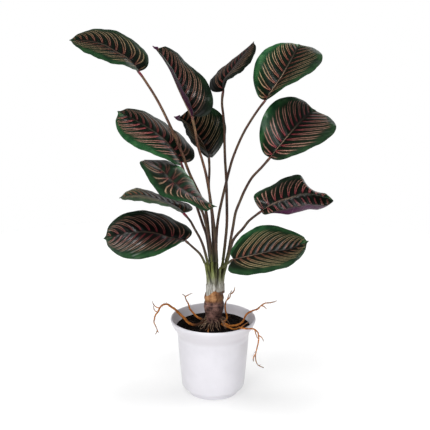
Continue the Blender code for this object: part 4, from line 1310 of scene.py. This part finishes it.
# %% The roots' routes, in millimetres
SOIL_HEIGHTS = 20             # heights below this are counted from the soil
ROOTS = {
    "left": (
        ((-15, 0, 5.4), (-20, -1, 4.2), (-27, -4, 2.8), (-35, -3, 2.9), (-42, 4, 120), (-48, 12, 124),
         (-55, 16, 129), (-63, 20, 136), (-70, 20, 141), (-76, 18, 146), (-83, 15, 146), (-88, 12, 142),
         (-91, 8, 136), (-95, 5, 132), (-97, 2, 126), (-97, 0, 120), (-94, -2, 114), (-92, -4, 109),
         (-95, -5, 102)),
        ((-88, 12, 142), (-93, 12, 143), (-98, 13, 147), (-100, 13, 153)),
        ((-91, 8, 136), (-96, 9, 138), (-98, 9, 146)),
        ((-92, -4, 109), (-90, -3, 104))),
    "back_left": (
        ((-11, 9.5, 5.4), (-15, 14, 3.4), (-21, 21, 2.8), (-27, 30, 2.9), (-32, 38, 121), (-39, 44, 128),
         (-42, 48, 136), (-46, 50, 143), (-47, 50, 148), (-52, 50, 152)),
        ((-47, 50, 147), (-42, 51, 150), (-35, 52, 153))),
    "back_right": (
        ((14, 7, 5.2), (18, 12, 3.2), (22, 20, 2.5), (23, 28, 121), (20, 30, 131), (20, 32, 141),
         (22, 32, 147), (27, 32, 152), (29, 32, 159), (30, 32, 165)),
        ((29, 32, 159), (34, 32, 163), (36, 32, 172)),
        ((24, 32, 149), (25, 33, 154), (27, 34, 160))),
    "right": (
        ((15, -1.5, 6), (20, -3, 4), (26, -6, 2.4), (33, -8, 2.2), (41, -4, 2.2), (48, 5, 119.5),
         (51, 12, 122), (54, 18, 126), (59, 21, 130), (66, 20, 134), (74, 18, 138), (79, 16, 144),
         (85, 14, 149), (94, 12, 151), (105, 10, 155)),
        ((79, 16, 144), (84, 15, 143), (88, 13, 139))),
    "over_rim": (
        ((13, -8, 6), (18, -11, 4), (25, -15, 2.4), (32, -20, 2.4), (38, -31, 122), (42, -42, 129),
         (44, -53, 132.5), (49, -56, 133), (56, -54, 131.5), (63, -49, 129.5), (70, -42, 123),
         (73.5, -36, 114), (74, -31, 104), (73, -28, 94), (71, -28, 84), (69, -28, 75), (70, -28, 64),
         (73, -28, 58), (78, -27, 54), (83, -26, 52)),
        ((44, -52, 132.5), (50, -41, 133), (58, -28, 133)),
        ((67, -46, 127), (69, -47, 119), (72, -45, 111)),
        ((73.5, -36, 113), (79, -35, 108), (82, -35, 102)),
        ((69.5, -28, 77), (66, -32, 72), (66, -34, 66))),
    "front": (
        ((-5.5, -12.5, 6), (-7, -16, 3.4), (-8, -22, 2.0), (-8, -30, 1.6), (-7.5, -38, 1.2)),),
}
ROOT_RADII = {"left": 0.0023, "back_left": 0.0019, "back_right": 0.0016, "right": 0.0018,
              "over_rim": 0.0015, "front": 0.0013}
print("roots:", len(ROOTS))

# %% A root with knobs and twigs
def root_place(point):
    place = metres(point)
    if point[2] < SOIL_HEIGHTS:
        place.z += soil_height(place.x, place.y)
    return place


def root_stem(points, thick, thin, twig_from):
    """A knobbly stem, with an attribute that turns its far end grey."""
    line = SmoothLine([root_place(p) for p in points])
    count = max(14, round(line.length / 0.0014))
    places, radii = [], []
    for i in range(count):
        share = i / (count - 1)
        middle = line.at(share)
        knob = 1.0 + 0.22 * noise.noise(middle * 240) + 0.14 * noise.noise(middle * 620)
        spot = middle * 150
        stray = Vector((noise.noise(spot), noise.noise(spot + Vector((9, 0, 0))), 0)) * 0.0005
        places.append(middle + stray * min(1.0, 6 * share))
        radii.append((thick + (thin - thick) * share ** 1.8) * knob)
    piece = stem("root", places, radii)
    along = [nearest_ring(places, vertex) / (count - 1) for vertex in piece.data.vertices]
    carry(piece, "twig", [min(1.0, max(0.0, (share - twig_from) / (1.0 - twig_from))) for share in along])
    return piece


def root_twigs(points, chance, every):
    """Hair-fine side roots along a root."""
    line = SmoothLine([root_place(p) for p in points])
    twigs = []
    for i in range(max(1, round(line.length / every))):
        share = chance.uniform(0.35, 0.97)
        start, heading = line.at(share), line.heading(share)
        out = Vector([chance.uniform(-1, 1) for _ in range(3)])
        out = (out - heading * out.dot(heading) + heading * 0.5).normalized()
        length = chance.uniform(0.0035, 0.0075)
        bend = Vector([chance.uniform(-1, 1) for _ in range(3)]) * 0.0012
        path = SmoothLine([start, start + out * length * 0.5 + bend, start + out * length])
        twigs.append((path, chance.uniform(0.00022, 0.00036)))
    return twigs


print("root helper ready")

# %% Make the roots
chance = random.Random(31)
for name, (main, *branches) in ROOTS.items():
    parts = [root_stem(main, ROOT_RADII[name], 0.00065, 0.72)]
    parts += [root_stem(branch, 0.0010, 0.0005, 0.2) for branch in branches]
    for path, radius in root_twigs(main, chance, 0.011):
        hair = fine_stem("twig", path, radius, rings=6, thinning=0.12)
        carry(hair, "twig", [0.8] * len(hair.data.vertices))
        parts.append(hair)
    root = join(parts)
    settle(root, "root_run_" + name, root_skin.material, "root_" + name)
print("root faces:", len(root.data.polygons))

# %% [markdown]
# ## The studio
# The plant was photographed on a white sweep. A pale floor that glows a little, under a large lamp
# overhead, gives that, with a world that looks white but lights the plant only a little, so that the
# dark leaves stay dark. Of the seven lamps, the large one overhead and the two fills in front and on
# the left light the plant without any mirror image in the glossy plastic, the main lamp above the
# camera does both, and the three sheen lamps give mirror images alone: they stand on the left, on
# the right and behind, and put a sheen on the leaves.

# %% Floor and world
floor_paint = Finish("pale_floor", roughness=0.9, specular=0.1)
floor_paint.shader.inputs["Emission Color"].default_value = (1.0, 1.0, 1.0, 1.0)
floor_paint.shader.inputs["Emission Strength"].default_value = 0.54
floor_grain = floor_paint.grain(floor_paint.place(), 6.0, 2.0)
floor_paint.colour(floor_paint.mix(floor_grain, (184, 184, 184), (188, 188, 188)))
bpy.ops.object.select_all(action="DESELECT")
bpy.ops.mesh.primitive_circle_add(vertices=96, radius=1.0, fill_type="NGON", location=(0, 0, 0))
floor = bpy.context.object
floor.name = "studio_floor"
floor.data.materials.append(floor_paint.material)

world = bpy.data.worlds.new("studio_world")
bpy.context.scene.world = world
world.use_nodes = True
sky = world.node_tree
glow = sky.nodes["Background"]
glow.inputs["Color"].default_value = (1.0, 1.0, 1.0, 1.0)
direction = sky.nodes.new("ShaderNodeTexCoord")
parts = sky.nodes.new("ShaderNodeSeparateXYZ")
sweep = sky.nodes.new("ShaderNodeMapRange")
sweep.interpolation_type = "SMOOTHSTEP"
for socket, value in (("From Min", 0.05), ("From Max", 0.55), ("To Min", 0.24), ("To Max", 0.10)):
    sweep.inputs[socket].default_value = value
seen = sky.nodes.new("ShaderNodeLightPath")
strength = sky.nodes.new("ShaderNodeMix")
strength.inputs["B"].default_value = 1.0
sky.links.new(direction.outputs["Generated"], parts.inputs[0])
sky.links.new(parts.outputs["Z"], sweep.inputs["Value"])
sky.links.new(seen.outputs["Is Camera Ray"], strength.inputs["Factor"])
sky.links.new(sweep.outputs["Result"], strength.inputs["A"])
sky.links.new(strength.outputs["Result"], glow.inputs["Strength"])
bpy.context.scene.view_settings.view_transform = "Standard"
print("floor and world ready")

# %% Soft lamps
def soft_lamp(name, place, aim, size, power, diffuse=True, mirrored=True):
    bpy.ops.object.light_add(type="AREA", location=place)
    lamp = bpy.context.object
    lamp.name = name
    lamp.data.shape = "DISK"
    lamp.data.size = size
    lamp.data.energy = power
    lamp.visible_camera = False
    lamp.visible_diffuse = diffuse
    lamp.visible_glossy = mirrored
    lamp.rotation_euler = (Vector(aim) - Vector(place)).to_track_quat("-Z", "Y").to_euler()


soft_lamp("top_lamp", (0, 0, 2.8), (0, 0, 0), 1.8, 80, mirrored=False)
soft_lamp("main_lamp", (-0.4, -1.5, 2.3), (0, 0, 0.35), 0.6, 16)
soft_lamp("left_fill", (-1.5, -1.9, 0.9), (0, 0, 0.3), 1.6, 8, mirrored=False)
soft_lamp("front_fill", (0.0, -2.4, 0.9), (0, 0, 0.2), 1.4, 17, mirrored=False)
soft_lamp("left_sheen", (-1.4, -1.8, 1.4), (0, 0, 0.35), 0.7, 9, diffuse=False)
soft_lamp("right_sheen", (1.3, -1.3, 2.1), (0, 0, 0.35), 0.5, 4, diffuse=False)
soft_lamp("back_sheen", (1.0, 1.9, 0.95), (0, 0, 0.35), 1.6, 6, diffuse=False)
print("lamps:", len(bpy.data.lights))
